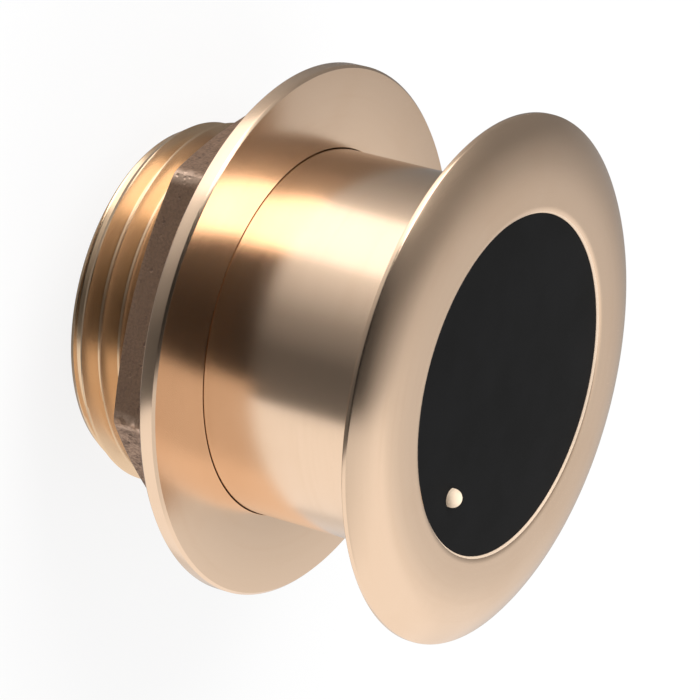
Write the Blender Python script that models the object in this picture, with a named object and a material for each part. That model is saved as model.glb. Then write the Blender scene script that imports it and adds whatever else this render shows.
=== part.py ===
"""Bronze through-hull sonar transducer with its hull nut, at its real size in metres, +Z up.

The axis is X = Y = 0. The part stands on its threaded end at Z = 0 and its sonar face looks up.
A turned bronze housing holds a cast window, the sonar element, a temperature sensor and a small
circuit. A flanged hexagon nut screws up the stem and clamps the hull against the housing's flange.
"""

import math

import bmesh
import bpy
from mathutils import Matrix, Vector

# Housing
STEM_RADIUS = 0.0254
STEM_WALL = 0.0046
STEM_FILLET = 0.0010
THREAD_TAIL = 0.0121
FLANGE_WIDTH = 0.0106
FLANGE_DEPTH = 0.0033
FLANGE_BACK_ROUND = 0.0004
FLANGE_LAND = 0.0005
CROWN_WIDTH = 0.0054
LIP_HEIGHT = 0.0005
LIP_ROUND = 0.0004
DOME_RISE = 0.0004
REAR_CHAMFER_DEPTH = 0.0018
REAR_CHAMFER_LENGTH = 0.0043
REAR_BORE_CHAMFER = 0.0005

# Thread, right-handed, eight turns to the inch, with its form in shares of the pitch
THREAD_PITCH = 0.003175
THREAD_DEPTH_SHARE = 0.55
THREAD_CREST_SHARE = 0.22
THREAD_FLANK_ANGLE = math.radians(30.0)
THREAD_START_ANGLE = math.radians(-90.0)
THREAD_START_CREST_Z = 0.00265
THREAD_RUNOUT_TURNS = 0.25
THREAD_CLEARANCE = 0.0003
NUT_TOOTH_TRUNCATION = 0.0005

# Hull nut
HULL_GAP = 0.0281
NUT_WALL = 0.0031
NUT_FLANGE_OVERHANG = 0.00765
NUT_FLANGE_THICKNESS = 0.00245
NUT_FLANGE_CHAMFER = 0.0007
NUT_BACK_CHAMFER = 0.0003
NUT_HEIGHT = 0.0105
NUT_CORNER_ANGLE = math.radians(1.9)
NUT_CORNER_ROUND = 0.0008
NUT_END_CHAMFER_ANGLE = math.radians(20.0)
NUT_COUNTERBORE_CLEARANCE = 0.0006
NUT_COUNTERBORE_DEPTH = 0.0026
NUT_MOUTH_CHAMFER = 0.0006

# Window and temperature sensor
FIT_CLEARANCE = 0.0003
WINDOW_LEDGE = 0.0024
WINDOW_THICKNESS = 0.0057
WINDOW_SPIGOT = 0.0015
WINDOW_EDGE_ROUND = 0.0002
PIN_AZIMUTH = math.radians(-26.2)
PIN_INSET = 0.0029
PIN_RADIUS = 0.00128
PIN_STAND = 0.00025
PIN_LENGTH = 0.0048
BEAD_RADIUS = 0.00095
SENSOR_LEAD_RADIUS = 0.00035
SENSOR_LEAD_SPACING = 0.0013

# Sonar element and its carrier
CERAMIC_THICKNESS = 0.0090
SLEEVE_WALL = 0.0007
BACKING_THICKNESS = 0.0030
CARRIER_FLOOR = 0.0020
CARRIER_SLOT_WIDTH = 0.0030
CARRIER_SLOT_WALL = 0.0010
LEAD_RADIUS = 0.0005
LEAD_HOLE_CLEARANCE = 0.0003
LEAD_OFFSET = 0.0060
LEAD_SHIFT = 0.0025

# Circuit
BOARD_CLEARANCE = 0.0005
BOARD_THICKNESS = 0.0016
BOARD_SPACE = 0.0042
STANDOFF_RADIUS = 0.0016
STANDOFF_INSET = 0.0038
STANDOFF_COUNT = 3
CORE_RADIUS = 0.0070
CORE_WAIST_RADIUS = 0.0032
CORE_HEIGHT = 0.0070
CORE_CHEEK = 0.0014
CORE_X = -0.0080
WINDING_BUILD = 0.0028
CAPACITOR_SIZE = Vector((0.0090, 0.0050, 0.0068))
CAPACITOR_PLACE = Vector((0.0070, 0.0065))
CHIP_SIZE = Vector((0.0060, 0.0050, 0.0017))
CHIP_PLACE = Vector((0.0075, -0.0070))
SMALL_BEVEL = 0.0004

# Rear closure and cable inlet
POTTING_RECESS = 0.0045
POTTING_THICKNESS = 0.0060
CABLE_RADIUS = 0.0039
SEAL_WALL = 0.0014
SEAL_LENGTH = 0.0060
BUSH_WALL = 0.0014
BUSH_SHOULDER_WIDTH = 0.0022
BUSH_SHOULDER_HEIGHT = 0.0016
BUSH_NUT_ACROSS_FLATS = 0.0200
BUSH_NUT_HEIGHT = 0.0028
BUSH_TAIL = 0.0005

# Facets
SEGMENTS = 56
INNER_SEGMENTS = 38
SMALL_SEGMENTS = 24
LEAD_POINTS = 12
MERGE = 1e-7

# Sizes that follow from the ones above
BORE_RADIUS = STEM_RADIUS - STEM_WALL
REAR_RIM_RADIUS = STEM_RADIUS - REAR_CHAMFER_DEPTH
FLANGE_RADIUS = STEM_RADIUS + FLANGE_WIDTH
NUT_END_Z = THREAD_TAIL
NUT_FACE_Z = NUT_END_Z + NUT_HEIGHT
HULL_SEAT_Z = NUT_FACE_Z + HULL_GAP
WINDOW_FACE_Z = HULL_SEAT_Z + FLANGE_DEPTH
WINDOW_RADIUS = BORE_RADIUS + WINDOW_LEDGE
POCKET_RADIUS = WINDOW_RADIUS + FIT_CLEARANCE
POCKET_FLOOR_Z = WINDOW_FACE_Z - WINDOW_THICKNESS - FIT_CLEARANCE
LIP_Z = WINDOW_FACE_Z + LIP_HEIGHT
LAND_TOP_Z = HULL_SEAT_Z + FLANGE_BACK_ROUND + FLANGE_LAND
CROWN_TOP_Z = LIP_Z - DOME_RISE
NUT_BORE_RADIUS = STEM_RADIUS + NUT_COUNTERBORE_CLEARANCE
NUT_ACROSS_FLATS = 2 * (NUT_BORE_RADIUS + NUT_WALL)
NUT_CORNER_RADIUS = NUT_ACROSS_FLATS / 2 / math.cos(math.pi / 6)
NUT_FLANGE_RADIUS = NUT_ACROSS_FLATS / 2 + NUT_FLANGE_OVERHANG
THREAD_DEPTH = THREAD_DEPTH_SHARE * THREAD_PITCH
THREAD_CREST = THREAD_CREST_SHARE * THREAD_PITCH
THREAD_ROOT_RADIUS = STEM_RADIUS - THREAD_DEPTH
NUT_TOOTH_RADIUS = THREAD_ROOT_RADIUS + NUT_TOOTH_TRUNCATION
PIN_OFFSET = BORE_RADIUS - PIN_INSET
SPIGOT_RADIUS = BORE_RADIUS - FIT_CLEARANCE
SPIGOT_Z = POCKET_FLOOR_Z + FIT_CLEARANCE - WINDOW_SPIGOT
CARRIER_RADIUS = BORE_RADIUS - FIT_CLEARANCE
CARRIER_INNER_RADIUS = PIN_OFFSET - CARRIER_SLOT_WIDTH / 2 - CARRIER_SLOT_WALL
CARRIER_TOP_Z = SPIGOT_Z - FIT_CLEARANCE
SLEEVE_RADIUS = CARRIER_INNER_RADIUS - FIT_CLEARANCE
CERAMIC_RADIUS = SLEEVE_RADIUS - SLEEVE_WALL - FIT_CLEARANCE
CERAMIC_BACK_Z = CARRIER_TOP_Z - CERAMIC_THICKNESS
BACKING_TOP_Z = CERAMIC_BACK_Z - FIT_CLEARANCE
BACKING_BACK_Z = BACKING_TOP_Z - BACKING_THICKNESS
CARRIER_FLOOR_Z = BACKING_BACK_Z - FIT_CLEARANCE
CARRIER_BACK_Z = CARRIER_FLOOR_Z - CARRIER_FLOOR
BOARD_TOP_Z = CARRIER_BACK_Z - BOARD_SPACE
BOARD_BACK_Z = BOARD_TOP_Z - BOARD_THICKNESS
BOARD_RADIUS = BORE_RADIUS - BOARD_CLEARANCE
STANDOFF_CIRCLE = BOARD_RADIUS - STANDOFF_INSET
LEAD_HOLE_RADIUS = LEAD_RADIUS + LEAD_HOLE_CLEARANCE
POTTING_TOP_Z = POTTING_RECESS + POTTING_THICKNESS
BUSH_INNER_RADIUS = CABLE_RADIUS + SEAL_WALL + FIT_CLEARANCE
BUSH_RADIUS = BUSH_INNER_RADIUS + BUSH_WALL
BUSH_SHOULDER_RADIUS = BUSH_RADIUS + BUSH_SHOULDER_WIDTH
BUSH_SHOULDER_Z = POTTING_TOP_Z + FIT_CLEARANCE
BUSH_NUT_TOP_Z = POTTING_RECESS - FIT_CLEARANCE
BUSH_NUT_BACK_Z = BUSH_NUT_TOP_Z - BUSH_NUT_HEIGHT
BUSH_BACK_Z = BUSH_NUT_BACK_Z - BUSH_TAIL
SEAL_BACK_Z = BUSH_BACK_Z + BUSH_TAIL


def clear_scene():
    for old in list(bpy.data.objects):
        bpy.data.objects.remove(old)


def material(name, colour, roughness, metallic=0.0):
    """A Principled finish; pieces with the same finish share one material."""
    made = bpy.data.materials.get(name)
    if made is None:
        made = bpy.data.materials.new(name)
        made.use_nodes = True
        shader = made.node_tree.nodes["Principled BSDF"]
        shader.inputs["Base Color"].default_value = (*colour, 1.0)
        shader.inputs["Roughness"].default_value = roughness
        shader.inputs["Metallic"].default_value = metallic
    return made


def turned_bronze():
    return material("turned_bronze", (0.63, 0.43, 0.28), 0.28, 1.0)


def cast_bronze():
    return material("cast_bronze", (0.55, 0.37, 0.24), 0.42, 1.0)


def black_urethane():
    return material("black_urethane", (0.020, 0.020, 0.020), 0.6)


def bright_brass():
    return material("bright_brass", (0.85, 0.65, 0.38), 0.25, 1.0)


def pressed_cork():
    return material("pressed_cork", (0.45, 0.28, 0.14), 0.9)


def black_plastic():
    return material("black_plastic", (0.025, 0.025, 0.028), 0.5)


def put_in_scene(name, mesh, finish):
    """Link a new object of this mesh, shaded smooth but for its sharp edges."""
    obj = bpy.data.objects.new(name, mesh)
    bpy.context.scene.collection.objects.link(obj)
    mesh.shade_smooth()
    mesh.set_sharp_from_angle(angle=math.radians(30.0))
    if finish:
        mesh.materials.append(finish)
    return obj


def solid_from(bm, name, finish):
    """Close up a bmesh, point its faces outwards and make it an object."""
    bmesh.ops.remove_doubles(bm, verts=bm.verts, dist=MERGE)
    bmesh.ops.recalc_face_normals(bm, faces=bm.faces)
    mesh = bpy.data.meshes.new(name)
    bm.to_mesh(mesh)
    bm.free()
    return put_in_scene(name, mesh, finish)


def arc(centre, radii, start_deg, end_deg, steps):
    """Points (radius, z) along a stretch of a circle or an ellipse."""
    points = []
    for step in range(steps + 1):
        angle = math.radians(start_deg + (end_deg - start_deg) * step / steps)
        points.append((centre[0] + radii[0] * math.cos(angle), centre[1] + radii[1] * math.sin(angle)))
    return points


def turned(name, profile, finish, segments=SEGMENTS, closed=True):
    """Turn a profile of (radius, z) points about the Z axis.

    A closed profile makes a ring; an open one starts and ends on the axis and makes a full solid.
    """
    bm = bmesh.new()
    verts = [bm.verts.new((radius, 0.0, z)) for radius, z in profile]
    pairs = list(zip(verts, verts[1:]))
    if closed:
        pairs.append((verts[-1], verts[0]))
    edges = [bm.edges.new(pair) for pair in pairs]
    bmesh.ops.spin(
        bm,
        geom=verts + edges,
        cent=(0.0, 0.0, 0.0),
        axis=(0.0, 0.0, 1.0),
        angle=math.tau,
        steps=segments,
        use_merge=True,
    )
    return solid_from(bm, name, finish)


def cylinder(name, radius, low, high, finish, segments=SMALL_SEGMENTS):
    return turned(name, [(0.0, high), (radius, high), (radius, low), (0.0, low)], finish, segments, False)


def tube(name, inner, outer, low, high, finish, segments=INNER_SEGMENTS):
    return turned(name, [(inner, low), (outer, low), (outer, high), (inner, high)], finish, segments)


def hexagon(name, across_flats, corner_angle, low, high, finish, corner_round=0.0):
    """A hexagonal prism about the Z axis, with one corner at corner_angle from +X."""
    bm = bmesh.new()
    radius = across_flats / 2 / math.cos(math.pi / 6)
    turn = corner_angle - math.pi / 2
    bmesh.ops.create_cone(
        bm,
        cap_ends=True,
        segments=6,
        radius1=radius,
        radius2=radius,
        depth=high - low,
        matrix=Matrix.Translation((0.0, 0.0, (low + high) / 2)) @ Matrix.Rotation(turn, 4, "Z"),
    )
    if corner_round:
        upright = [edge for edge in bm.edges if abs(edge.verts[0].co.z - edge.verts[1].co.z) > MERGE]
        bmesh.ops.bevel(bm, geom=upright, offset=corner_round, segments=2, profile=0.5, affect="EDGES")
    return solid_from(bm, name, finish)


def block(name, size, centre, finish, bevel=0.0):
    """A box with its edges bevelled."""
    bm = bmesh.new()
    bmesh.ops.create_cube(bm, size=1.0, matrix=Matrix.Diagonal((*size, 1.0)))
    if bevel:
        bmesh.ops.bevel(bm, geom=bm.edges[:], offset=bevel, segments=2, profile=0.5, affect="EDGES")
    obj = solid_from(bm, name, finish)
    obj.location = centre
    return obj


def boolean(target, other, operation):
    """Apply another solid to this one by a live Boolean; the other is kept as a hidden helper."""
    other.hide_render = True
    other.display_type = "WIRE"
    modifier = target.modifiers.new(f"{operation.lower()}_{other.name}", "BOOLEAN")
    modifier.object = other
    modifier.operation = operation
    modifier.solver = "EXACT"


def hole(target, name, radius, low, high, x=0.0, y=0.0, segments=SMALL_SEGMENTS):
    """Drill along Z."""
    cutter = cylinder(name, radius, low, high, None, segments)
    cutter.location = (x, y, 0.0)
    boolean(target, cutter, "DIFFERENCE")


def polar(radius, angle):
    return radius * math.cos(angle), radius * math.sin(angle)


def wire(name, points, radius, finish):
    """A lead: a round curve with closed ends through these points."""
    curve = bpy.data.curves.new(name, "CURVE")
    curve.dimensions = "3D"
    curve.bevel_depth = radius
    curve.bevel_resolution = 1
    curve.use_fill_caps = True
    spline = curve.splines.new("POLY")
    spline.points.add(len(points) - 1)
    for spot, place in zip(spline.points, points):
        spot.co = (*place, 1.0)
    curve.materials.append(finish)
    obj = bpy.data.objects.new(name, curve)
    bpy.context.scene.collection.objects.link(obj)
    return obj


def thread_bar(name, section, crest_offset, low, high, runout_lift=0.0):
    """Sweep a section of (radius, z offset) points up the thread's helix, as a cutter.

    The section's zero follows the crest's middle, moved by crest_offset. Over its last part the
    bar lifts outwards by runout_lift, so that an outside groove fades out as a real one does.
    """
    turn_step = math.tau / SEGMENTS
    first_z = THREAD_START_CREST_Z + crest_offset
    first = math.floor((low - first_z) / THREAD_PITCH * SEGMENTS)
    last = math.ceil((high - first_z) / THREAD_PITCH * SEGMENTS)
    runout_steps = THREAD_RUNOUT_TURNS * SEGMENTS
    bm = bmesh.new()
    rings = []
    for step in range(first, last + 1):
        angle = THREAD_START_ANGLE + step * turn_step
        z = first_z + THREAD_PITCH * step / SEGMENTS
        fade = max(0.0, 1.0 - (last - step) / runout_steps)
        lift = runout_lift * fade**2
        ring = [bm.verts.new((*polar(radius + lift, angle), z + offset)) for radius, offset in section]
        rings.append(ring)
    for ring, after in zip(rings, rings[1:]):
        for corner in range(len(section)):
            beside = (corner + 1) % len(section)
            bm.faces.new((ring[corner], ring[beside], after[beside], after[corner]))
    bm.faces.new(rings[0])
    bm.faces.new(rings[-1])
    return solid_from(bm, name, None)


def groove_half_width(radius):
    """Half the width of the stem's thread groove at a radius."""
    crest_half = (THREAD_PITCH - THREAD_CREST) / 2
    return crest_half - (STEM_RADIUS - radius) * math.tan(THREAD_FLANK_ANGLE)


def stem_groove():
    """The cutter of the stem's thread: its space between two crests."""
    over = 0.06 * THREAD_PITCH
    outside = STEM_RADIUS + THREAD_DEPTH
    root_half = groove_half_width(THREAD_ROOT_RADIUS)
    over_half = groove_half_width(STEM_RADIUS + over)
    section = [
        (THREAD_ROOT_RADIUS, -root_half),
        (STEM_RADIUS + over, -over_half),
        (outside, -over_half),
        (outside, over_half),
        (STEM_RADIUS + over, over_half),
        (THREAD_ROOT_RADIUS, root_half),
    ]
    high = NUT_FACE_Z - THREAD_PITCH / 4
    return thread_bar("stem_groove", section, THREAD_PITCH / 2, -THREAD_PITCH, high, THREAD_DEPTH * 1.2)


def nut_groove():
    """The cutter of the nut's thread: the stem's ridge with its clearance round it."""

    def ridge_half_width(radius):
        side_clearance = THREAD_CLEARANCE / math.cos(THREAD_FLANK_ANGLE)
        return THREAD_PITCH / 2 - groove_half_width(radius) + side_clearance

    inside = NUT_TOOTH_RADIUS - THREAD_DEPTH
    under = NUT_TOOTH_RADIUS - 0.04 * THREAD_PITCH
    crest = STEM_RADIUS + THREAD_CLEARANCE
    section = [
        (crest, -ridge_half_width(crest)),
        (crest, ridge_half_width(crest)),
        (under, ridge_half_width(under)),
        (inside, ridge_half_width(under)),
        (inside, -ridge_half_width(under)),
        (under, -ridge_half_width(under)),
    ]
    low = NUT_END_Z - THREAD_PITCH
    high = NUT_FACE_Z - NUT_COUNTERBORE_DEPTH + THREAD_PITCH / 2
    return thread_bar("nut_groove", section, 0.0, low, high)


def housing():
    """Mushroom flange, hollow stem and outside thread, cast and turned as one piece."""
    fillet_centre = (STEM_RADIUS + STEM_FILLET, HULL_SEAT_Z - STEM_FILLET)
    edge_centre = (FLANGE_RADIUS - FLANGE_BACK_ROUND, HULL_SEAT_Z + FLANGE_BACK_ROUND)
    crown_centre = (FLANGE_RADIUS - CROWN_WIDTH, LAND_TOP_Z)
    lip_centre = (POCKET_RADIUS + LIP_ROUND, LIP_Z - LIP_ROUND)
    profile = [
        (REAR_RIM_RADIUS, 0.0),
        (STEM_RADIUS, REAR_CHAMFER_LENGTH),
        *arc(fillet_centre, (STEM_FILLET, STEM_FILLET), 180, 90, 3),
        *arc(edge_centre, (FLANGE_BACK_ROUND, FLANGE_BACK_ROUND), -90, 0, 2),
        *arc(crown_centre, (CROWN_WIDTH, CROWN_TOP_Z - LAND_TOP_Z), 0, 90, 7),
        *arc(lip_centre, (LIP_ROUND, LIP_ROUND), 90, 180, 2),
        (POCKET_RADIUS, POCKET_FLOOR_Z),
        (BORE_RADIUS, POCKET_FLOOR_Z),
        (BORE_RADIUS, REAR_BORE_CHAMFER),
        (BORE_RADIUS + REAR_BORE_CHAMFER, 0.0),
    ]
    body = turned("housing", profile, turned_bronze())
    boolean(body, stem_groove(), "DIFFERENCE")
    return body


def hull_nut():
    """Cast hexagon nut with a round flange in one piece, bored and threaded."""
    reach = NUT_CORNER_RADIUS * 1.1
    half_flats = NUT_ACROSS_FLATS / 2
    hex_top_z = NUT_FACE_Z - NUT_FLANGE_THICKNESS / 2
    reach_z = NUT_END_Z + (reach - half_flats) * math.tan(NUT_END_CHAMFER_ANGLE)
    flange_back_z = NUT_FACE_Z - NUT_FLANGE_THICKNESS
    bronze = cast_bronze()
    hexagon_size = (NUT_ACROSS_FLATS, NUT_CORNER_ANGLE, NUT_END_Z, hex_top_z)
    nut = hexagon("hull_nut", *hexagon_size, bronze, NUT_CORNER_ROUND)
    under_z = NUT_END_Z - THREAD_PITCH
    under = half_flats - THREAD_PITCH / math.tan(NUT_END_CHAMFER_ANGLE)
    end_cone = [(0.0, NUT_FACE_Z), (reach, NUT_FACE_Z), (reach, reach_z), (under, under_z), (0.0, under_z)]
    boolean(nut, turned("nut_end_cone", end_cone, None, closed=False), "INTERSECT")
    plate = [
        (0.0, NUT_FACE_Z),
        (NUT_FLANGE_RADIUS - NUT_FLANGE_CHAMFER, NUT_FACE_Z),
        (NUT_FLANGE_RADIUS, NUT_FACE_Z - NUT_FLANGE_CHAMFER),
        (NUT_FLANGE_RADIUS, flange_back_z + NUT_BACK_CHAMFER),
        (NUT_FLANGE_RADIUS - NUT_BACK_CHAMFER, flange_back_z),
        (0.0, flange_back_z),
    ]
    boolean(nut, turned("nut_flange_plate", plate, None, closed=False), "UNION")
    counterbore_z = NUT_FACE_Z - NUT_COUNTERBORE_DEPTH
    step = NUT_BORE_RADIUS - NUT_TOOTH_RADIUS
    mouth = NUT_TOOTH_RADIUS + NUT_MOUTH_CHAMFER + THREAD_PITCH
    bore = [
        (0.0, NUT_FACE_Z + THREAD_PITCH),
        (NUT_BORE_RADIUS, NUT_FACE_Z + THREAD_PITCH),
        (NUT_BORE_RADIUS, counterbore_z),
        (NUT_TOOTH_RADIUS, counterbore_z - step),
        (NUT_TOOTH_RADIUS, NUT_END_Z + NUT_MOUTH_CHAMFER),
        (mouth, NUT_END_Z - THREAD_PITCH),
        (0.0, NUT_END_Z - THREAD_PITCH),
    ]
    boolean(nut, turned("nut_bore", bore, None, closed=False), "DIFFERENCE")
    boolean(nut, nut_groove(), "DIFFERENCE")
    return nut


def acoustic_window():
    """The black cast face, with a spigot into the bore and a hole for the temperature pin."""
    rim = WINDOW_RADIUS - WINDOW_EDGE_ROUND
    low = POCKET_FLOOR_Z + FIT_CLEARANCE
    profile = [
        (0.0, WINDOW_FACE_Z),
        *arc((rim, WINDOW_FACE_Z - WINDOW_EDGE_ROUND), (WINDOW_EDGE_ROUND, WINDOW_EDGE_ROUND), 90, 0, 2),
        (WINDOW_RADIUS, low),
        (SPIGOT_RADIUS, low),
        (SPIGOT_RADIUS, SPIGOT_Z),
        (0.0, SPIGOT_Z),
    ]
    window = turned("acoustic_window", profile, black_urethane(), closed=False)
    x, y = polar(PIN_OFFSET, PIN_AZIMUTH)
    hole_top = WINDOW_FACE_Z + PIN_RADIUS
    hole(window, "pin_hole", PIN_RADIUS + FIT_CLEARANCE, SPIGOT_Z - PIN_RADIUS, hole_top, x, y)
    return window


def temperature_sensor():
    """The domed metal pin in the face, the sensing bead behind it and the bead's two leads."""
    x, y = polar(PIN_OFFSET, PIN_AZIMUTH)
    dome_z = WINDOW_FACE_Z + PIN_STAND
    pin_back_z = WINDOW_FACE_Z - PIN_LENGTH
    dome = arc((0.0, dome_z), (PIN_RADIUS, PIN_RADIUS), 90, 0, 5)
    profile = [(0.0, dome[0][1]), *dome[1:], (PIN_RADIUS, pin_back_z), (0.0, pin_back_z)]
    pin = turned("temperature_pin", profile, bright_brass(), SMALL_SEGMENTS, False)
    pin.location = (x, y, 0.0)

    bead_z = pin_back_z - FIT_CLEARANCE - BEAD_RADIUS
    ball = arc((0.0, bead_z), (BEAD_RADIUS, BEAD_RADIUS), 90, -90, 8)
    ball = [(0.0, ball[0][1]), *ball[1:-1], (0.0, ball[-1][1])]
    bead = turned("thermistor_bead", ball, material("bead_glaze", (0.30, 0.05, 0.03), 0.3), 16, False)
    bead.location = (x, y, 0.0)

    start_z = bead_z - BEAD_RADIUS
    end_z = BOARD_TOP_Z + FIT_CLEARANCE
    finish = material("red_insulation", (0.45, 0.03, 0.02), 0.5)
    for number, side in enumerate((-1, 1), start=1):
        points = []
        for step in range(LEAD_POINTS):
            share = step / (LEAD_POINTS - 1)
            out = PIN_OFFSET + LEAD_RADIUS * math.sin(math.pi * share)
            across = side * SENSOR_LEAD_SPACING / 2
            place = Matrix.Rotation(PIN_AZIMUTH, 3, "Z") @ Vector((out, across, 0.0))
            points.append((place.x, place.y, start_z + (end_z - start_z) * share))
        wire(f"thermistor_lead_{number}", points, SENSOR_LEAD_RADIUS, finish)


def ceramic_lead_places():
    """Where the element's two leads leave its back, at right angles to the sensor."""
    turn = PIN_AZIMUTH + math.pi / 2
    live = ("ceramic_lead_live", polar(LEAD_OFFSET, turn))
    ground = ("ceramic_lead_ground", polar(-LEAD_OFFSET, turn))
    return [live, ground]


def sonar_element():
    """The piezo ceramic, its cork sleeve and backing, and the carrier that holds them."""
    ceramic = material("silvered_ceramic", (0.72, 0.71, 0.66), 0.35, 0.6)
    cylinder("piezo_ceramic", CERAMIC_RADIUS, CERAMIC_BACK_Z, CARRIER_TOP_Z, ceramic, INNER_SEGMENTS)
    sleeve_inner = SLEEVE_RADIUS - SLEEVE_WALL
    tube("element_sleeve", sleeve_inner, SLEEVE_RADIUS, CERAMIC_BACK_Z, CARRIER_TOP_Z, pressed_cork())
    cork = pressed_cork()
    backing = cylinder("backing_disc", SLEEVE_RADIUS, BACKING_BACK_Z, BACKING_TOP_Z, cork, INNER_SEGMENTS)
    profile = [
        (CARRIER_INNER_RADIUS, CARRIER_TOP_Z),
        (CARRIER_RADIUS, CARRIER_TOP_Z),
        (CARRIER_RADIUS, CARRIER_BACK_Z),
        (0.0, CARRIER_BACK_Z),
        (0.0, CARRIER_FLOOR_Z),
        (CARRIER_INNER_RADIUS, CARRIER_FLOOR_Z),
    ]
    carrier = turned("element_carrier", profile, black_plastic(), SEGMENTS)
    slot_depth = CARRIER_RADIUS - PIN_OFFSET + CARRIER_SLOT_WIDTH
    slot_middle = PIN_OFFSET - CARRIER_SLOT_WIDTH / 2 + slot_depth / 2
    height = CARRIER_TOP_Z - CARRIER_BACK_Z
    size = Vector((slot_depth, CARRIER_SLOT_WIDTH, height * 1.2))
    slot = block("carrier_slot", size, (*polar(slot_middle, PIN_AZIMUTH), CARRIER_BACK_Z + height / 2), None)
    slot.rotation_euler.z = PIN_AZIMUTH
    boolean(carrier, slot, "DIFFERENCE")

    finish = material("blue_insulation", (0.02, 0.05, 0.30), 0.5)
    lead_start = CERAMIC_BACK_Z - FIT_CLEARANCE
    lead_end = BOARD_TOP_Z + FIT_CLEARANCE
    hole_low = CARRIER_BACK_Z - CARRIER_FLOOR
    hole_high = BACKING_TOP_Z + BACKING_THICKNESS
    for name, (x, y) in ceramic_lead_places():
        hole(backing, f"{name}_backing_hole", LEAD_HOLE_RADIUS, hole_low, hole_high, x, y, 12)
        hole(carrier, f"{name}_carrier_hole", LEAD_HOLE_RADIUS, hole_low, hole_high, x, y, 12)
        outward = Vector((x, y)).normalized() * LEAD_SHIFT
        points = [(x, y, lead_start), (x, y, CARRIER_BACK_Z)]
        for step in range(1, LEAD_POINTS):
            share = step / (LEAD_POINTS - 1)
            ease = share * share * (3 - 2 * share)
            z = CARRIER_BACK_Z + (lead_end - CARRIER_BACK_Z) * share
            points.append((x + outward.x * ease, y + outward.y * ease, z))
        wire(name, points, LEAD_RADIUS, finish)


def circuit():
    """The board on its three standoffs, with the parts that it carries on its back."""
    fibreglass = material("green_board", (0.02, 0.16, 0.06), 0.45)
    cylinder("circuit_board", BOARD_RADIUS, BOARD_BACK_Z, BOARD_TOP_Z, fibreglass, INNER_SEGMENTS)
    low = BOARD_TOP_Z + FIT_CLEARANCE
    high = CARRIER_BACK_Z - FIT_CLEARANCE
    for number in range(STANDOFF_COUNT):
        angle = PIN_AZIMUTH + math.tau * (number + 0.5) / STANDOFF_COUNT
        post = cylinder(f"board_standoff_{number + 1}", STANDOFF_RADIUS, low, high, bright_brass(), 16)
        post.location = (*polar(STANDOFF_CIRCLE, angle), 0.0)

    seat = BOARD_BACK_Z - FIT_CLEARANCE
    core_profile = [
        (0.0, seat),
        (CORE_RADIUS, seat),
        (CORE_RADIUS, seat - CORE_CHEEK),
        (CORE_WAIST_RADIUS, seat - CORE_CHEEK),
        (CORE_WAIST_RADIUS, seat - CORE_HEIGHT + CORE_CHEEK),
        (CORE_RADIUS, seat - CORE_HEIGHT + CORE_CHEEK),
        (CORE_RADIUS, seat - CORE_HEIGHT),
        (0.0, seat - CORE_HEIGHT),
    ]
    ferrite = material("ferrite", (0.05, 0.05, 0.055), 0.55)
    core = turned("transformer_core", core_profile, ferrite, 32, False)
    winding_low = seat - CORE_HEIGHT + CORE_CHEEK + FIT_CLEARANCE
    winding_high = seat - CORE_CHEEK - FIT_CLEARANCE
    winding_inner = CORE_WAIST_RADIUS + FIT_CLEARANCE
    winding_outer = winding_inner + WINDING_BUILD
    copper = material("enamelled_copper", (0.60, 0.22, 0.08), 0.3, 1.0)
    winding = tube("transformer_winding", winding_inner, winding_outer, winding_low, winding_high, copper, 32)
    for piece in (core, winding):
        piece.location = (CORE_X, 0.0, 0.0)

    yellow = material("yellow_film", (0.75, 0.52, 0.05), 0.35)
    place = (*CAPACITOR_PLACE, seat - CAPACITOR_SIZE.z / 2)
    block("tuning_capacitor", CAPACITOR_SIZE, place, yellow, SMALL_BEVEL * 2)
    place = (*CHIP_PLACE, seat - CHIP_SIZE.z / 2)
    block("id_chip", CHIP_SIZE, place, black_plastic(), SMALL_BEVEL)


def rear_closure():
    """The potted plug, and through it the bush, seal and nut of the cable inlet."""
    radius = BORE_RADIUS - FIT_CLEARANCE
    passage = BUSH_RADIUS + FIT_CLEARANCE
    epoxy = material("potting_epoxy", (0.03, 0.03, 0.03), 0.35)
    tube("rear_potting", passage, radius, POTTING_RECESS, POTTING_TOP_Z, epoxy)

    seal_top = SEAL_BACK_Z + SEAL_LENGTH
    profile = [
        (CABLE_RADIUS + FIT_CLEARANCE, BUSH_SHOULDER_Z + BUSH_SHOULDER_HEIGHT),
        (BUSH_SHOULDER_RADIUS, BUSH_SHOULDER_Z + BUSH_SHOULDER_HEIGHT),
        (BUSH_SHOULDER_RADIUS, BUSH_SHOULDER_Z),
        (BUSH_RADIUS, BUSH_SHOULDER_Z),
        (BUSH_RADIUS, BUSH_BACK_Z),
        (BUSH_INNER_RADIUS, BUSH_BACK_Z),
        (BUSH_INNER_RADIUS, seal_top + FIT_CLEARANCE),
        (CABLE_RADIUS + FIT_CLEARANCE, seal_top + FIT_CLEARANCE),
    ]
    turned("cable_bush", profile, bright_brass(), INNER_SEGMENTS)
    seal_outer = CABLE_RADIUS + SEAL_WALL
    tube("cable_seal", CABLE_RADIUS, seal_outer, SEAL_BACK_Z, seal_top, black_urethane(), 32)

    brass = bright_brass()
    nut = hexagon("bush_nut", BUSH_NUT_ACROSS_FLATS, 0.0, BUSH_NUT_BACK_Z, BUSH_NUT_TOP_Z, brass)
    hole(nut, "bush_nut_bore", passage, BUSH_BACK_Z - BUSH_TAIL, POTTING_TOP_Z, segments=INNER_SEGMENTS)


def main():
    clear_scene()
    housing()
    hull_nut()
    acoustic_window()
    temperature_sensor()
    sonar_element()
    circuit()
    rear_closure()


if __name__ == "__main__":
    main()
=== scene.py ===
"""Fine shapes, finishes and studio of a bronze through-hull sonar transducer.

The part stands on its threaded end at Z = 0, its sonar face looks up, and its axis is X = Y = 0.
Lengths are in metres. Patterns on surfaces are worked out in millimetres.
"""

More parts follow.
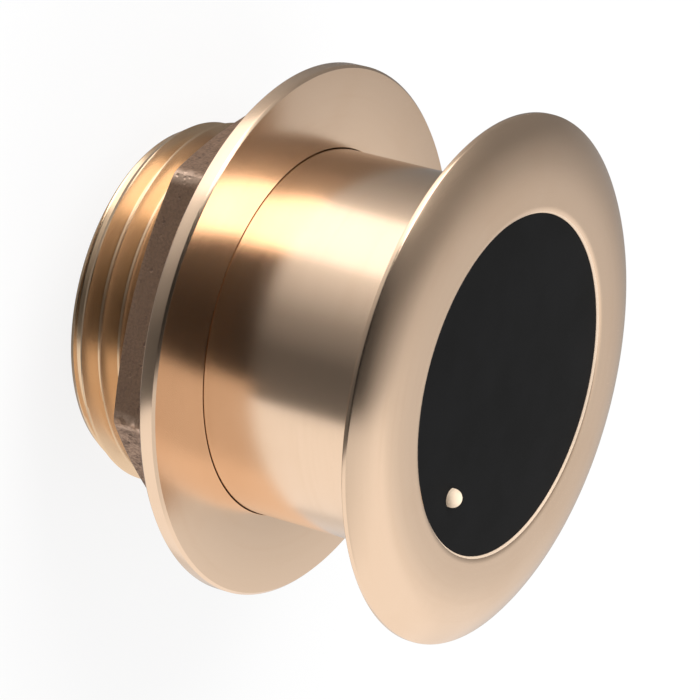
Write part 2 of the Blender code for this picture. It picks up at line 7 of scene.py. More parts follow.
import logging
import math
from collections.abc import Callable, Sequence
from dataclasses import dataclass, field
from enum import Enum
from functools import cache

import bmesh
import bpy
from mathutils import Matrix, Vector, noise


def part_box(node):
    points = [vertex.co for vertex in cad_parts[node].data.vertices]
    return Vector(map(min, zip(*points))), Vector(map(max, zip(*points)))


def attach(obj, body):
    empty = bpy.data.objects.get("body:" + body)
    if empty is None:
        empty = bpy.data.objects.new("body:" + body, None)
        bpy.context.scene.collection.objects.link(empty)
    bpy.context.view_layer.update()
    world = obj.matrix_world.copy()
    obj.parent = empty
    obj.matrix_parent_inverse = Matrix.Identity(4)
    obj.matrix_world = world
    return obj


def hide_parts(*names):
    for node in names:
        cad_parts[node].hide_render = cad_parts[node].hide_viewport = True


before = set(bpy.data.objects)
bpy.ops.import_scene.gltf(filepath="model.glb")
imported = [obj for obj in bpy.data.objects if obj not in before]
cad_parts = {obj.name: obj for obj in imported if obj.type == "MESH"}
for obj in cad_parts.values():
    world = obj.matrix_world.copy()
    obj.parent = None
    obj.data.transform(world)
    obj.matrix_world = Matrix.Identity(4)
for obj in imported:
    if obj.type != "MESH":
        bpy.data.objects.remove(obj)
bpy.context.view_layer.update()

BODY = "root"
MM = 0.001
FIRST_ANGLE = math.radians(-90.0)  # round pieces start and end on this side
COLUMNS = 256  # columns round a large turned piece
MERGE = 1e-7  # points of a turned mesh that lie nearer than this become one
WELD = 2e-6  # the same where a thread meets its piece
SHARP_ANGLE = math.radians(32.0)  # edges that turn by more than this stay sharp
THREADED = "threaded"
SOCKET_KINDS = {
    float: "NodeSocketFloat",
    int: "NodeSocketInt",
    bool: "NodeSocketBool",
    bpy.types.Material: "NodeSocketMaterial",
}

log = logging.getLogger("sonar_transducer")

Point = tuple[float, float]
Spot = tuple[float, float, float]
Colour = tuple[float, float, float]
Profile = Callable[[float], Sequence[Point]]
Settings = dict[str, object]
Sockets = dict[int | str, object]


class Slot(Enum):
    """The record's material slots, which the finished pieces name."""

    TURNED_BRONZE = "turned_bronze"
    CAST_BRONZE = "cast_bronze"
    BLACK_URETHANE = "black_urethane"
    BRIGHT_BRASS = "bright_brass"
    POTTING_EPOXY = "potting_epoxy"


class Value:
    """A number on its way through a node tree, with arithmetic that adds Math nodes."""

    def __init__(self, tree: "Tree", socket: bpy.types.NodeSocket) -> None:
        """Keep the tree and the output socket that the number comes from."""
        self.tree = tree
        self.socket = socket

    def __add__(self, other: "Value | float") -> "Value":
        """Return self + other."""
        return self.tree.math("ADD", self, other)

    def __sub__(self, other: "Value | float") -> "Value":
        """Return self - other."""
        return self.tree.math("SUBTRACT", self, other)

    def __mul__(self, other: "Value | float") -> "Value":
        """Return self * other."""
        return self.tree.math("MULTIPLY", self, other)

    def __truediv__(self, other: "Value | float") -> "Value":
        """Return self / other."""
        return self.tree.math("DIVIDE", self, other)

    def __rsub__(self, other: float) -> "Value":
        """Return other - self."""
        return self.tree.math("SUBTRACT", other, self)

    def __rtruediv__(self, other: float) -> "Value":
        """Return other / self."""
        return self.tree.math("DIVIDE", other, self)

    __radd__ = __add__
    __rmul__ = __mul__

    def root(self) -> "Value":
        """Return the square root."""
        return self.tree.math("SQRT", self)

    def size(self) -> "Value":
        """Return the value without its sign."""
        return self.tree.math("ABSOLUTE", self)

    def at_least(self, other: "Value | float") -> "Value":
        """Return the larger of self and other."""
        return self.tree.math("MAXIMUM", self, other)

    def at_most(self, other: "Value | float") -> "Value":
        """Return the smaller of self and other."""
        return self.tree.math("MINIMUM", self, other)

    def step(self, low: float, high: float) -> "Value":
        """Return a smooth step from 0 at low to 1 at high, falling if high is below low."""
        inputs = {0: self, 1: low, 2: high}
        return self.tree.value("ShaderNodeMapRange", {"interpolation_type": "SMOOTHSTEP"}, inputs)


class Tree:
    """Adds nodes to a shader or geometry tree, with their settings first and then their sockets."""

    def __init__(self, nodes: bpy.types.NodeTree) -> None:
        """Wrap a node tree and remove what it holds."""
        self.nodes = nodes
        nodes.nodes.clear()

    def node(self, kind: str, settings: Settings | None = None,
             inputs: Sockets | None = None) -> bpy.types.Node:
        """Add one node.

        Args:
            kind: The node's type, as Blender names it.
            settings: Its properties, such as a Math node's operation.
            inputs: Its sockets by name or number, each a Value, an output socket or a constant.

        Returns:
            The new node.
        """
        made = self.nodes.nodes.new(kind)
        for name, value in (settings or {}).items():
            setattr(made, name, value)
        for name, value in (inputs or {}).items():
            source = value.socket if isinstance(value, Value) else value
            if isinstance(source, bpy.types.NodeSocket):
                self.nodes.links.new(source, made.inputs[name])
            else:
                made.inputs[name].default_value = source
        return made

    def value(self, kind: str, settings: Settings | None = None, inputs: Sockets | None = None,
              output: int | str = 0) -> Value:
        """Add one node, as node() does, and return one of its outputs as a Value."""
        return Value(self, self.node(kind, settings, inputs).outputs[output])

    def math(self, operation: str, first: Value | float, second: Value | float = 0.0,
             third: Value | float = 0.0) -> Value:
        """Add a Math node."""
        return self.value("ShaderNodeMath", {"operation": operation}, {0: first, 1: second, 2: third})

    def combine(self, x: Value | float, y: Value | float, z: Value | float) -> Value:
        """Return a vector of three numbers."""
        return self.value("ShaderNodeCombineXYZ", inputs={0: x, 1: y, 2: z})

    def noise(self, vector: Value, per_mm: float, detail: float = 2.0, rough: float = 0.5) -> Value:
        """Return noise from 0 to 1 with this many cells to one unit of the vector."""
        inputs = {"Vector": vector, "Scale": per_mm, "Detail": detail, "Roughness": rough}
        return self.value("ShaderNodeTexNoise", inputs=inputs)

    def mix(self, factor: Value, low: Value | Colour, high: Colour) -> Value:
        """Mix two colours.

        Args:
            factor: How much of the second colour shows, from 0 to 1.
            low: The first colour.
            high: The second colour.

        Returns:
            The mixed colour.
        """
        below = low if isinstance(low, Value) else (*low, 1.0)
        inputs = {0: factor, 6: below, 7: (*high, 1.0)}
        return self.value("ShaderNodeMix", {"data_type": "RGBA"}, inputs, output=2)

    def relief(self, height: Value) -> Value:
        """Return the normal of a bumped surface whose height is in millimetres."""
        return self.value("ShaderNodeBump", inputs={"Strength": 1.0, "Distance": MM, "Height": height})


class Place:
    """Where a surface point lies on the object, in millimetres, as Values for patterns.

    Its vector is the point itself. Its tool is a vector that hardly changes along a ring that a
    lathe leaves, and changes fast across the rings.
    """

    def __init__(self, tree: Tree, centre: Point = (0.0, 0.0)) -> None:
        """Read Object coordinates, which are the part's own.

        Args:
            tree: The material's tree.
            centre: Where the pattern's axis stands, in metres.
        """
        metres = tree.value("ShaderNodeTexCoord", output="Object")
        scaled = {0: metres, 1: (1 / MM, 1 / MM, 1 / MM), 2: (-centre[0] / MM, -centre[1] / MM, 0.0)}
        self.vector = tree.value("ShaderNodeVectorMath", {"operation": "MULTIPLY_ADD"}, scaled)
        parts = tree.node("ShaderNodeSeparateXYZ", inputs={0: self.vector})
        self.x, self.y, self.z = (Value(tree, parts.outputs[axis]) for axis in range(3))
        self.radius = (self.x * self.x + self.y * self.y).root()
        along = self.radius.at_least(MM)
        self.tool = tree.combine(self.radius + self.z, self.x / along, self.y / along)


def new_material(name: str) -> tuple[bpy.types.Material, Tree]:
    """Make a material.

    Args:
        name: Its name.

    Returns:
        The material and its empty node tree.
    """
    made = bpy.data.materials.new(name)
    made.use_nodes = True
    return made, Tree(made.node_tree)


@dataclass(frozen=True)
class Finish:
    """A surface finish that becomes one material. Its kinds say what their sockets hold."""

    name: str

    def sockets(self, tree: Tree) -> Sockets:
        """Return what the Principled shader's sockets get."""
        raise NotImplementedError

    def material(self) -> bpy.types.Material:
        """Make this finish's material the first time that it is asked for.

        Returns:
            The material.
        """
        name = f"{self.name}_finish"
        made = bpy.data.materials.get(name)
        if made is None:
            made, tree = new_material(name)
            shader = tree.node("ShaderNodeBsdfPrincipled", inputs=self.sockets(tree))
            tree.node("ShaderNodeOutputMaterial", inputs={0: shader.outputs[0]})
        return made


@dataclass(frozen=True)
class TurnedMetal(Finish):
    """Metal off the lathe: fine rings round the axis that stretch every reflection across them."""

    colour: Colour
    tarnish: Colour
    roughness: float = 0.21
    anisotropy: float = 0.4
    ring_depth: float = 0.00035
    rings_per_mm: float = 3.2
    centre: Point = (0.0, 0.0)
    metallic: float = 1.0

    def sockets(self, tree: Tree) -> Sockets:
        """Lay ringed relief, streaky roughness and a faint uneven tarnish.

        Args:
            tree: The material's tree.

        Returns:
            What the Principled shader's sockets get.
        """
        place = Place(tree, self.centre)
        rings = tree.noise(place.tool, self.rings_per_mm, detail=2.0, rough=0.6)
        streaks = tree.noise(place.tool, per_mm=0.9, detail=3.0, rough=0.6)
        clouds = tree.noise(place.vector, per_mm=0.07, detail=3.0, rough=0.55)
        tarnish = clouds.step(0.45, 0.70) * 0.35 + streaks.step(0.45, 0.80) * 0.25
        return {
            "Base Color": tree.mix(tarnish, self.colour, self.tarnish),
            "Metallic": self.metallic,
            "Roughness": self.roughness + (streaks - 0.5) * 0.06 + (clouds - 0.5) * 0.04,
            "Anisotropic": self.anisotropy,
            "Anisotropic Rotation": 0.25,
            "Normal": tree.relief(rings * self.ring_depth + streaks * self.ring_depth),
        }


@dataclass(frozen=True)
class SandCastMetal(Finish):
    """Metal as it left the sand mould: pitted and grainy, dark in the hollows, with a painted highlight along
    its corners.
    """

    colour: Colour
    dirt: Colour
    painted_corner_highlight: Colour
    grain_depth: float = 0.05
    pit_depth: float = 0.09
    # The painted corner highlight fades in between these distances from the axis, in millimetres.
    corner_highlight_from: float = 32.7
    corner_highlight_to: float = 33.3

    def sockets(self, tree: Tree) -> Sockets:
        """Lay the sand's grain, scattered pits, the dirt that they hold and a painted highlight along the
        corners.

        Args:
            tree: The material's tree.

        Returns:
            What the Principled shader's sockets get.
        """
        place = Place(tree)
        grain = tree.noise(place.vector, per_mm=2.6, detail=5.0, rough=0.62)
        lumps = tree.noise(place.vector, per_mm=0.55, detail=3.0, rough=0.5)
        cells = tree.value("ShaderNodeTexVoronoi", inputs={"Vector": place.vector, "Scale": 0.85})
        pits = cells.step(0.30, 0.12) * lumps.step(0.48, 0.62)
        dirt = (grain.step(0.60, 0.38) * 0.55 + pits * 0.6 + lumps.step(0.35, 0.6) * 0.25).at_most(1.0)
        # Painted highlight: a lighter colour near the hexagon's corners, broken into patches by the lumps,
        # which also clears the dirt there.
        painted_corner_highlight = place.radius.step(self.corner_highlight_from, self.corner_highlight_to) * lumps.step(0.34, 0.56) * 0.85
        dirt = dirt * (1.0 - painted_corner_highlight)
        height = grain * self.grain_depth + lumps * self.grain_depth * 2.0 - pits * self.pit_depth
        return {
            "Base Color": tree.mix(painted_corner_highlight, tree.mix(dirt, self.colour, self.dirt), self.painted_corner_highlight),
            "Metallic": 1.0 - dirt * 0.35,
            "Roughness": 0.42 + dirt * 0.30,
            "Normal": tree.relief(height),
        }


@dataclass(frozen=True)
class Moulding(Finish):
    """Cast or moulded resin, rubber or ceramic with a fine skin, flow clouds and dust."""

    colour: Colour
    cloud: Colour
    roughness: float = 0.6
    grain_per_mm: float = 4.0
    grain_depth: float = 0.006
    wave_depth: float = 0.02
    specular: float = 0.4
    coat: float = 0.0

    def sockets(self, tree: Tree) -> Sockets:
        """Lay a skin with fine grain over slow waves, and dusty specks on its colour.

        Args:
            tree: The material's tree.

        Returns:
            What the Principled shader's sockets get.
        """
        place = Place(tree)
        grain = tree.noise(place.vector, self.grain_per_mm, detail=3.0, rough=0.6)
        waves = tree.noise(place.vector, per_mm=0.12, detail=2.0, rough=0.5)
        specks = tree.noise(place.vector, per_mm=1.7, detail=4.0, rough=0.7).step(0.68, 0.80)
        colour = tree.mix(waves.step(0.3, 0.7) * 0.7 + grain * 0.3, self.colour, self.cloud)
        dust = tuple(0.6 * part + 0.10 for part in self.cloud)
        return {
            "Base Color": tree.mix(specks * 0.15, colour, dust),
            "Roughness": self.roughness + (grain - 0.5) * 0.12 + specks * 0.08,
            "Specular IOR Level": self.specular,
            "Coat Weight": self.coat,
            "Coat Roughness": 0.12,
            "Normal": tree.relief(grain * self.grain_depth + waves * self.wave_depth),
        }


@dataclass(frozen=True)
class PressedCork(Finish):
    """Cork granules pressed and glued into sheet."""

    granule: Colour = (0.50, 0.31, 0.16)
    pale_granule: Colour = (0.625, 0.3875, 0.20)
    glue: Colour = (0.16, 0.08, 0.035)

    def sockets(self, tree: Tree) -> Sockets:
        """Lay granules of uneven tone with dark glue between them.

        Args:
            tree: The material's tree.

        Returns:
            What the Principled shader's sockets get.
        """
        place = Place(tree)
        cells = tree.node("ShaderNodeTexVoronoi", inputs={"Vector": place.vector, "Scale": 1.1})
        edge = Value(tree, cells.outputs["Distance"])
        tone = tree.noise(place.vector, per_mm=0.9, detail=4.0, rough=0.6)
        colour = tree.mix(tone, self.granule, self.pale_granule)
        return {
            "Base Color": tree.mix(edge.step(0.45, 0.75), colour, self.glue),
            "Roughness": 0.85 + tone * 0.1,
            "Normal": tree.relief(tone * 0.05 - edge * 0.08),
        }


@dataclass(frozen=True)
class SilveredCeramic(Finish):
    """A fired disc whose two faces carry a silver electrode, with a bare ceramic edge."""

    silver: Colour
    worn_silver: Colour
    ceramic: Colour
    edge_radius: float = 0.0165

    def sockets(self, tree: Tree) -> Sockets:
        """Lay silver within the edge and chalky ceramic at it.

        Args:
            tree: The material's tree.

        Returns:
            What the Principled shader's sockets get.
        """
        place = Place(tree)
        bare = (place.radius / (self.edge_radius / MM)).step(0.965, 0.985)
        brush = tree.noise(place.vector, per_mm=0.8, detail=4.0, rough=0.6)
        return {
            "Base Color": tree.mix(bare, tree.mix(brush, self.silver, self.worn_silver), self.ceramic),
            "Metallic": 0.9 - bare * 0.9,
            "Roughness": 0.34 + bare * 0.4 + brush * 0.1,
            "Normal": tree.relief(brush * 0.01),
        }


@dataclass(frozen=True)
class PrintedBoard(Finish):
    """A glass-fibre board with green mask over copper tracks."""

    mask: Colour
    track: Colour
    tracks: float = 9.0
    threads: float = 9.0

    def sockets(self, tree: Tree) -> Sockets:
        """Lay tracks that show through the mask, and the weave under it.

        Args:
            tree: The material's tree.

        Returns:
            What the Principled shader's sockets get.
        """
        place = Place(tree)
        stretched = tree.combine(place.x * 0.12, place.y * 0.55, 0.0)
        routes = tree.noise(stretched, per_mm=1.0, detail=0.0)
        track = tree.math("FRACT", routes * self.tracks).step(0.42, 0.5)
        warp, weft = (tree.math("SINE", side * self.threads) for side in (place.x, place.y))
        weave = warp * weft
        return {
            "Base Color": tree.mix(track, self.mask, self.track),
            "Roughness": 0.38 + weave * 0.05,
            "Coat Weight": 0.4,
            "Normal": tree.relief(track * 0.03 + weave * 0.004),
        }


@dataclass(frozen=True)
class WoundWire(Finish):
    """Enamelled wire wound turn beside turn."""

    wire: Colour
    painted_crease_shade: Colour
    wire_diameter: float = 0.35

    def sockets(self, tree: Tree) -> Sockets:
        """Lay rounded turns along the axis, with painted shade in the creases between them.

        Args:
            tree: The material's tree.

        Returns:
            What the Principled shader's sockets get.
        """
        place = Place(tree)
        turn = tree.math("FRACT", place.z / self.wire_diameter)
        aside = turn * 2.0 - 1.0
        round_top = (1.0 - aside * aside).at_least(0.0).root()
        tone = tree.noise(place.vector, per_mm=0.8, detail=3.0)
        return {
            # The dark colour where each turn rounds down to the next is painted shade.
            "Base Color": tree.mix(round_top.step(0.55, 0.15), self.wire, self.painted_crease_shade),
            "Metallic": 0.85,
            "Roughness": 0.28 + tone * 0.15,
            "Coat Weight": 0.6,
            "Normal": tree.relief(round_top * (self.wire_diameter / 2)),
        }


PIN_PLACE = (0.01606, -0.00790)  # the temperature pin's axis
TURNED_BRONZE = TurnedMetal("turned_bronze", (0.90, 0.66, 0.475), (0.85, 0.60, 0.41))
# A pale, mostly matt bronze for the lip's bevel and the pocket wall; its bright colour is a painted highlight
# round the window's edge.
BEVEL_PAINTED_HIGHLIGHT = TurnedMetal(
    "bevel_painted_highlight", (0.95, 0.74, 0.56), (0.91, 0.70, 0.51), roughness=0.55, anisotropy=0.0,
    ring_depth=0.0006, metallic=0.35,
)
THREADED_BRONZE = TurnedMetal("threaded_bronze", (0.82, 0.59, 0.39), (0.74, 0.51, 0.31), roughness=0.26)
# The third colour is the painted highlight along the hexagon's corners.
CAST_BRONZE = SandCastMetal(
    "cast_bronze", (0.43, 0.275, 0.186), (0.16, 0.10, 0.07), (0.80, 0.58, 0.44), grain_depth=0.026
)
# The pin's bronze, made pale and nearly matt: its colour is partly the pin's own and partly the painted
# reflection of the pale table.
PIN_BRONZE = TurnedMetal(
    "pin_bronze", (1.0, 0.80, 0.60), (0.96, 0.76, 0.56), roughness=0.75, anisotropy=0.0,
    ring_depth=0.0005, rings_per_mm=5.0, centre=PIN_PLACE, metallic=0.1,
)
BRIGHT_BRASS = TurnedMetal(
    "bright_brass", (0.90, 0.70, 0.42), (0.78, 0.54, 0.28), roughness=0.34, ring_depth=0.0006
)
BLACK_URETHANE = Moulding(
    "black_urethane", (0.008, 0.008, 0.008), (0.010, 0.010, 0.0103), roughness=0.70, specular=0.06
)
POTTING_EPOXY = Moulding(
    "potting_epoxy", (0.016, 0.016, 0.017), (0.028, 0.027, 0.026), roughness=0.30, grain_per_mm=1.5,
    grain_depth=0.004, wave_depth=0.25, specular=0.5, coat=0.2,
)
BLACK_PLASTIC = Moulding(
    "black_plastic", (0.022, 0.022, 0.025), (0.032, 0.032, 0.034), roughness=0.5, grain_per_mm=5.0,
    grain_depth=0.01,
)
FERRITE = Moulding(
    "ferrite", (0.045, 0.045, 0.05), (0.075, 0.072, 0.07), roughness=0.55, grain_per_mm=6.0,
    grain_depth=0.02,
)
YELLOW_FILM = Moulding(
    "yellow_film", (0.75, 0.52, 0.05), (0.80, 0.58, 0.10), roughness=0.32, grain_per_mm=2.0,
    grain_depth=0.004, wave_depth=0.1, specular=0.5, coat=0.3,
)
BEAD_GLAZE = Moulding(
    "bead_glaze", (0.30, 0.05, 0.03), (0.38, 0.09, 0.05), roughness=0.22, grain_per_mm=3.0,
    grain_depth=0.003, specular=0.5, coat=0.8,
)
RED_INSULATION, BLUE_INSULATION = (
    Moulding(name, colour, cloud, roughness=0.42, grain_per_mm=6.0, grain_depth=0.004)
    for name, colour, cloud in (
        ("red_insulation", (0.45, 0.03, 0.02), (0.52, 0.05, 0.03)),
        ("blue_insulation", (0.02, 0.05, 0.30), (0.03, 0.08, 0.38)),
    )
)
GREEN_BOARD = PrintedBoard("green_board", (0.015, 0.13, 0.05), (0.05, 0.24, 0.08))
# Its second colour is the painted shade between the turns.
ENAMELLED_COPPER = WoundWire("enamelled_copper", (0.66, 0.25, 0.09), (0.10, 0.03, 0.012))
CORK = PressedCork("pressed_cork")
SILVERED_CERAMIC = SilveredCeramic(
    "silvered_ceramic", (0.78, 0.77, 0.74), (0.6396, 0.6314, 0.6068), (0.55, 0.50, 0.38)
)


@cache
def node_size(node: str) -> tuple[float, float, float]:
    """Return a round CAD node's radius and its lowest and highest Z.

    Args:
        node: The node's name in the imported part.

    Returns:
        Its largest reach from the axis along X or Y, its lowest Z and its highest Z.
    """
    low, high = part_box(node)
    return max(high.x, high.y, -low.x, -low.y), low.z, high.z


def rounded(corners: Sequence[tuple[float, float, float]], steps: int = 5) -> list[Point]:
    """Round the inner corners of an open outline.

    Args:
        corners: Points (radius, z, rounding); the first and last are kept as they are.
        steps: How many pieces each rounded corner gets.

    Returns:
        The outline's points (radius, z).
    """
    points = [corners[0][:2]]
    for before, here, after in zip(corners, corners[1:], corners[2:]):
        rounding = here[2]
        if rounding == 0.0:
            points.append(here[:2])
            continue
        corner = Vector(here[:2])
        back = (Vector(before[:2]) - corner).normalized()
        ahead = (Vector(after[:2]) - corner).normalized()
        half = back.angle(ahead) / 2
        centre = corner + (back + ahead).normalized() * (rounding / math.sin(half))
        first = corner + back * (rounding / math.tan(half)) - centre
        last = corner + ahead * (rounding / math.tan(half)) - centre
        turn = math.atan2(first.x * last.y - first.y * last.x, first.dot(last))
        for step in range(steps + 1):
            spoke = Matrix.Rotation(turn * step / steps, 2) @ first
            points.append(tuple(centre + spoke))
    points.append(corners[-1][:2])
    return points


def mesh_from(bm: bmesh.types.BMesh, name: str) -> bpy.types.Mesh:
    """Write an edit mesh to a new mesh and free it.

    Args:
        bm: The edit mesh.
        name: The new mesh's name.

    Returns:
        The new mesh.
    """
    mesh = bpy.data.meshes.new(name)
    bm.to_mesh(mesh)
    bm.free()
    return mesh


def turned_mesh(name: str, profile: Profile, closed: bool = True, columns: int = COLUMNS,
                spans: Sequence[int] | None = None) -> bpy.types.Mesh:
    """Turn an outline round the Z axis.

    Args:
        name: The mesh's name.
        profile: The outline (radius, z) at an angle, run upwards on its outer side.
        closed: Whether the outline's last point joins its first.
        columns: How many copies of the outline go round.
        spans: The material number of each stretch of the outline, 0 for all if left out.

    Returns:
        The mesh, with equal points merged.
    """
    bm = bmesh.new()
    rings = []
    for column in range(columns):
        angle = FIRST_ANGLE + math.tau * column / columns
        across, deep = math.cos(angle), math.sin(angle)
        rings.append([bm.verts.new((radius * across, radius * deep, z)) for radius, z in profile(angle)])
    count = len(rings[0])
    for ring, after in zip(rings, rings[1:] + rings[:1]):
        for spot in range(count if closed else count - 1):
            beside = (spot + 1) % count
            face = bm.faces.new((ring[spot], after[spot], after[beside], ring[beside]))
            face.material_index = spans[spot] if spans else 0
    bmesh.ops.remove_doubles(bm, verts=bm.verts, dist=MERGE)
    return mesh_from(bm, name)


def placed(name: str, data: bpy.types.ID) -> bpy.types.Object:
    """Put data in the scene.

    Args:
        name: The object's name.
        data: Its mesh, lamp or camera.

    Returns:
        The object, at the origin.
    """
    made = bpy.data.objects.new(name, data)
    bpy.context.scene.collection.objects.link(made)
    return made


def piece(mesh: bpy.types.Mesh, *finishes: Finish) -> bpy.types.Object:
    """Put a piece's mesh in the scene.

    Args:
        mesh: The mesh, whose name the piece takes.
        *finishes: Its finishes, in the order of its material numbers.

    Returns:
        The piece.
    """
    for finish in finishes:
        mesh.materials.append(finish.material())
    return placed(mesh.name, mesh)


def bake(made: bpy.types.Object) -> None:
    """Turn an object and its modifiers into a plain mesh.

    Args:
        made: The object, whose modifiers are removed.
    """
    graph = bpy.context.evaluated_depsgraph_get()
    mesh = bpy.data.meshes.new_from_object(made.evaluated_get(graph))
    made.modifiers.clear()
    made.data = mesh


def hand_over(made: bpy.types.Object, slot: Slot, *nodes: str) -> None:
    """Smooth a finished piece, tie it to the frame and report it.

    Args:
        made: The piece.
        slot: The record's slot for its finish. It is not used.
        *nodes: The CAD nodes that it stands for.
    """
    mesh = made.data
    mesh.shade_smooth()
    mesh.set_sharp_from_angle(angle=SHARP_ANGLE)
    bm = bmesh.new()
    bm.from_mesh(mesh)
    volume = bm.calc_volume(signed=True)
    loose = sum(1 for edge in bm.edges if not edge.is_manifold)
    bm.free()
    mesh.calc_loop_triangles()
    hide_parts(*nodes)
    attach(made, BODY)
    count, cubic = len(mesh.loop_triangles), volume / MM**3
    log.info("%s: %d triangles, %.0f mm3, %d open edges", made.name, count, cubic, loose)


@dataclass
class Thread:
    """A screw thread's ridge, laid round the axis as a Geometry Nodes surface.

    The surface's rows follow the helix, so that crests and roots stay crisp. It runs from low to
    high and ends in plain circles there: a lead or mouth at low, and a run-out at high. A lead or
    mouth that isn't given cuts nothing.
    """

    crest_radius: float
    root_radius: float
    pitch: float
    crest_half: float
    start_crest_z: float
    low: float
    high: float
    runout_radius: float
    runout_slope: float
    lead_radius: float = 1.0
    lead_slope: float = 0.0
    mouth_radius: float = 0.0
    mouth_slope: float = 0.0
    inside: bool = False
    flank_angle: float = math.radians(30.0)
    edge_round: float = 0.00013
    rows_per_turn: int = 30
    columns: int = COLUMNS

    def settings(self, finish: Finish) -> Settings:
        """Work out the node tree's inputs.

        Args:
            finish: The finish of the threaded surface.

        Returns:
            The inputs by name.
        """
        turns_below = math.ceil((self.start_crest_z - self.low) / self.pitch) + 1
        first_row_z = self.start_crest_z - turns_below * self.pitch
        step = self.pitch / self.rows_per_turn
        return {
            "Crest Radius": self.crest_radius, "Root Radius": self.root_radius, "Pitch": self.pitch,
            "Crest Half Width": self.crest_half, "Flank Slope": math.tan(self.flank_angle),
            "Edge Round": self.edge_round, "Start Crest Z": self.start_crest_z, "Low": self.low,
            "High": self.high, "Lead Radius": self.lead_radius, "Lead Slope": self.lead_slope,
            "Mouth Radius": self.mouth_radius, "Mouth Slope": self.mouth_slope,
            "Runout Radius": self.runout_radius, "Runout Slope": self.runout_slope,
            "First Row Z": first_row_z, "Columns": self.columns,
            "Rows": math.ceil((self.high - first_row_z) / step), "Rows per Turn": self.rows_per_turn,
            "Inside": self.inside, "Finish": finish.material(),
        }

    @staticmethod
    def tree(name: str, settings: Settings) -> bpy.types.NodeTree:
        """Build the node tree.

        Args:
            name: Its name.
            settings: Its inputs by name, whose types say which sockets they get.

        Returns:
            The tree, which serves every thread.
        """
        group = bpy.data.node_groups.new(name, "GeometryNodeTree")
        face = group.interface
        face.new_socket("Geometry", in_out="OUTPUT", socket_type="NodeSocketGeometry")
        face.new_socket("Geometry", in_out="INPUT", socket_type="NodeSocketGeometry")
        for setting, value in settings.items():
            face.new_socket(setting, in_out="INPUT", socket_type=SOCKET_KINDS[type(value)])

        tree = Tree(group)
        given = tree.node("NodeGroupInput")
        get = {setting: Value(tree, given.outputs[setting]) for setting in settings}
        rows, pitch = get["Rows"], get["Pitch"]
        counts = {"Vertices X": get["Columns"] + 1.0, "Vertices Y": rows + 1.0}
        grid = tree.node("GeometryNodeMeshGrid", inputs={"Size X": 1.0, "Size Y": 1.0, **counts})
        spot = tree.node("ShaderNodeSeparateXYZ", inputs={0: tree.value("GeometryNodeInputPosition")})
        around = Value(tree, spot.outputs[0]) + 0.5
        row = tree.math("ROUND", (Value(tree, spot.outputs[1]) + 0.5) * rows)
        rise = row * pitch / get["Rows per Turn"]
        z = (get["First Row Z"] + rise + around * pitch).at_least(get["Low"]).at_most(get["High"])

        turns = (z - get["Start Crest Z"]) / pitch - around
        from_crest = (turns - tree.math("ROUND", turns)).size() * pitch
        drop = (from_crest - get["Crest Half Width"]) / get["Flank Slope"]
        deepest = get["Crest Radius"] - get["Root Radius"]
        drop = tree.math("SMOOTH_MAX", drop, 0.0, get["Edge Round"])
        drop = tree.math("SMOOTH_MIN", drop, deepest, get["Edge Round"])
        radius = get["Crest Radius"] - drop
        up = z - get["Low"]
        down = get["High"] - z
        radius = radius.at_least(get["Mouth Radius"] - up * get["Mouth Slope"])
        radius = radius.at_most(get["Lead Radius"] + up * get["Lead Slope"])
        radius = radius.at_least(get["Runout Radius"] - down * get["Runout Slope"])

        angle = around * math.tau + FIRST_ANGLE
        place = tree.combine(radius * tree.math("COSINE", angle), radius * tree.math("SINE", angle), z)
        laid = tree.node("GeometryNodeSetPosition", inputs={"Geometry": grid.outputs[0], "Position": place})
        flip = {"Mesh": laid.outputs[0], "Selection": get["Inside"]}
        flipped = tree.node("GeometryNodeFlipFaces", inputs=flip)
        of_faces = {"data_type": "BOOLEAN", "domain": "FACE"}
        mark = {"Geometry": flipped.outputs[0], "Name": THREADED, "Value": True}
        marked = tree.node("GeometryNodeStoreNamedAttribute", of_faces, mark)
        joined = tree.node("GeometryNodeJoinGeometry")
        for part in (marked.outputs[0], given.outputs["Geometry"]):
            group.links.new(part, joined.inputs[0])
        weld = {"Geometry": joined.outputs[0], "Distance": WELD}
        welded = tree.node("GeometryNodeMergeByDistance", inputs=weld)
        real = tree.node("GeometryNodeRealizeInstances", inputs={"Geometry": welded.outputs[0]})
        kind = {"data_type": "BOOLEAN"}
        threaded = tree.node("GeometryNodeInputNamedAttribute", kind, {"Name": THREADED})
        dress = {"Geometry": real.outputs[0], "Selection": threaded.outputs[0], "Material": get["Finish"]}
        dressed = tree.node("GeometryNodeSetMaterial", inputs=dress)
        tree.node("NodeGroupOutput", inputs={0: dressed.outputs[0]})
        return group

    def add_to(self, made: bpy.types.Object, finish: Finish) -> None:
        """Join the threaded surface to an open turned piece, as one mesh.

        Args:
            made: The piece, whose open ends meet the thread's.
            finish: The finish of the threaded surface.
        """
        name, settings = "screw_thread", self.settings(finish)
        modifier = made.modifiers.new(name, "NODES")
        modifier.node_group = bpy.data.node_groups.get(name) or self.tree(name, settings)
        for socket in modifier.node_group.interface.items_tree:
            if socket.name in settings:
                modifier[socket.identifier] = settings[socket.name]
        bake(made)
        marks = made.data.attributes.get(THREADED)
        if marks:
            made.data.attributes.remove(marks)


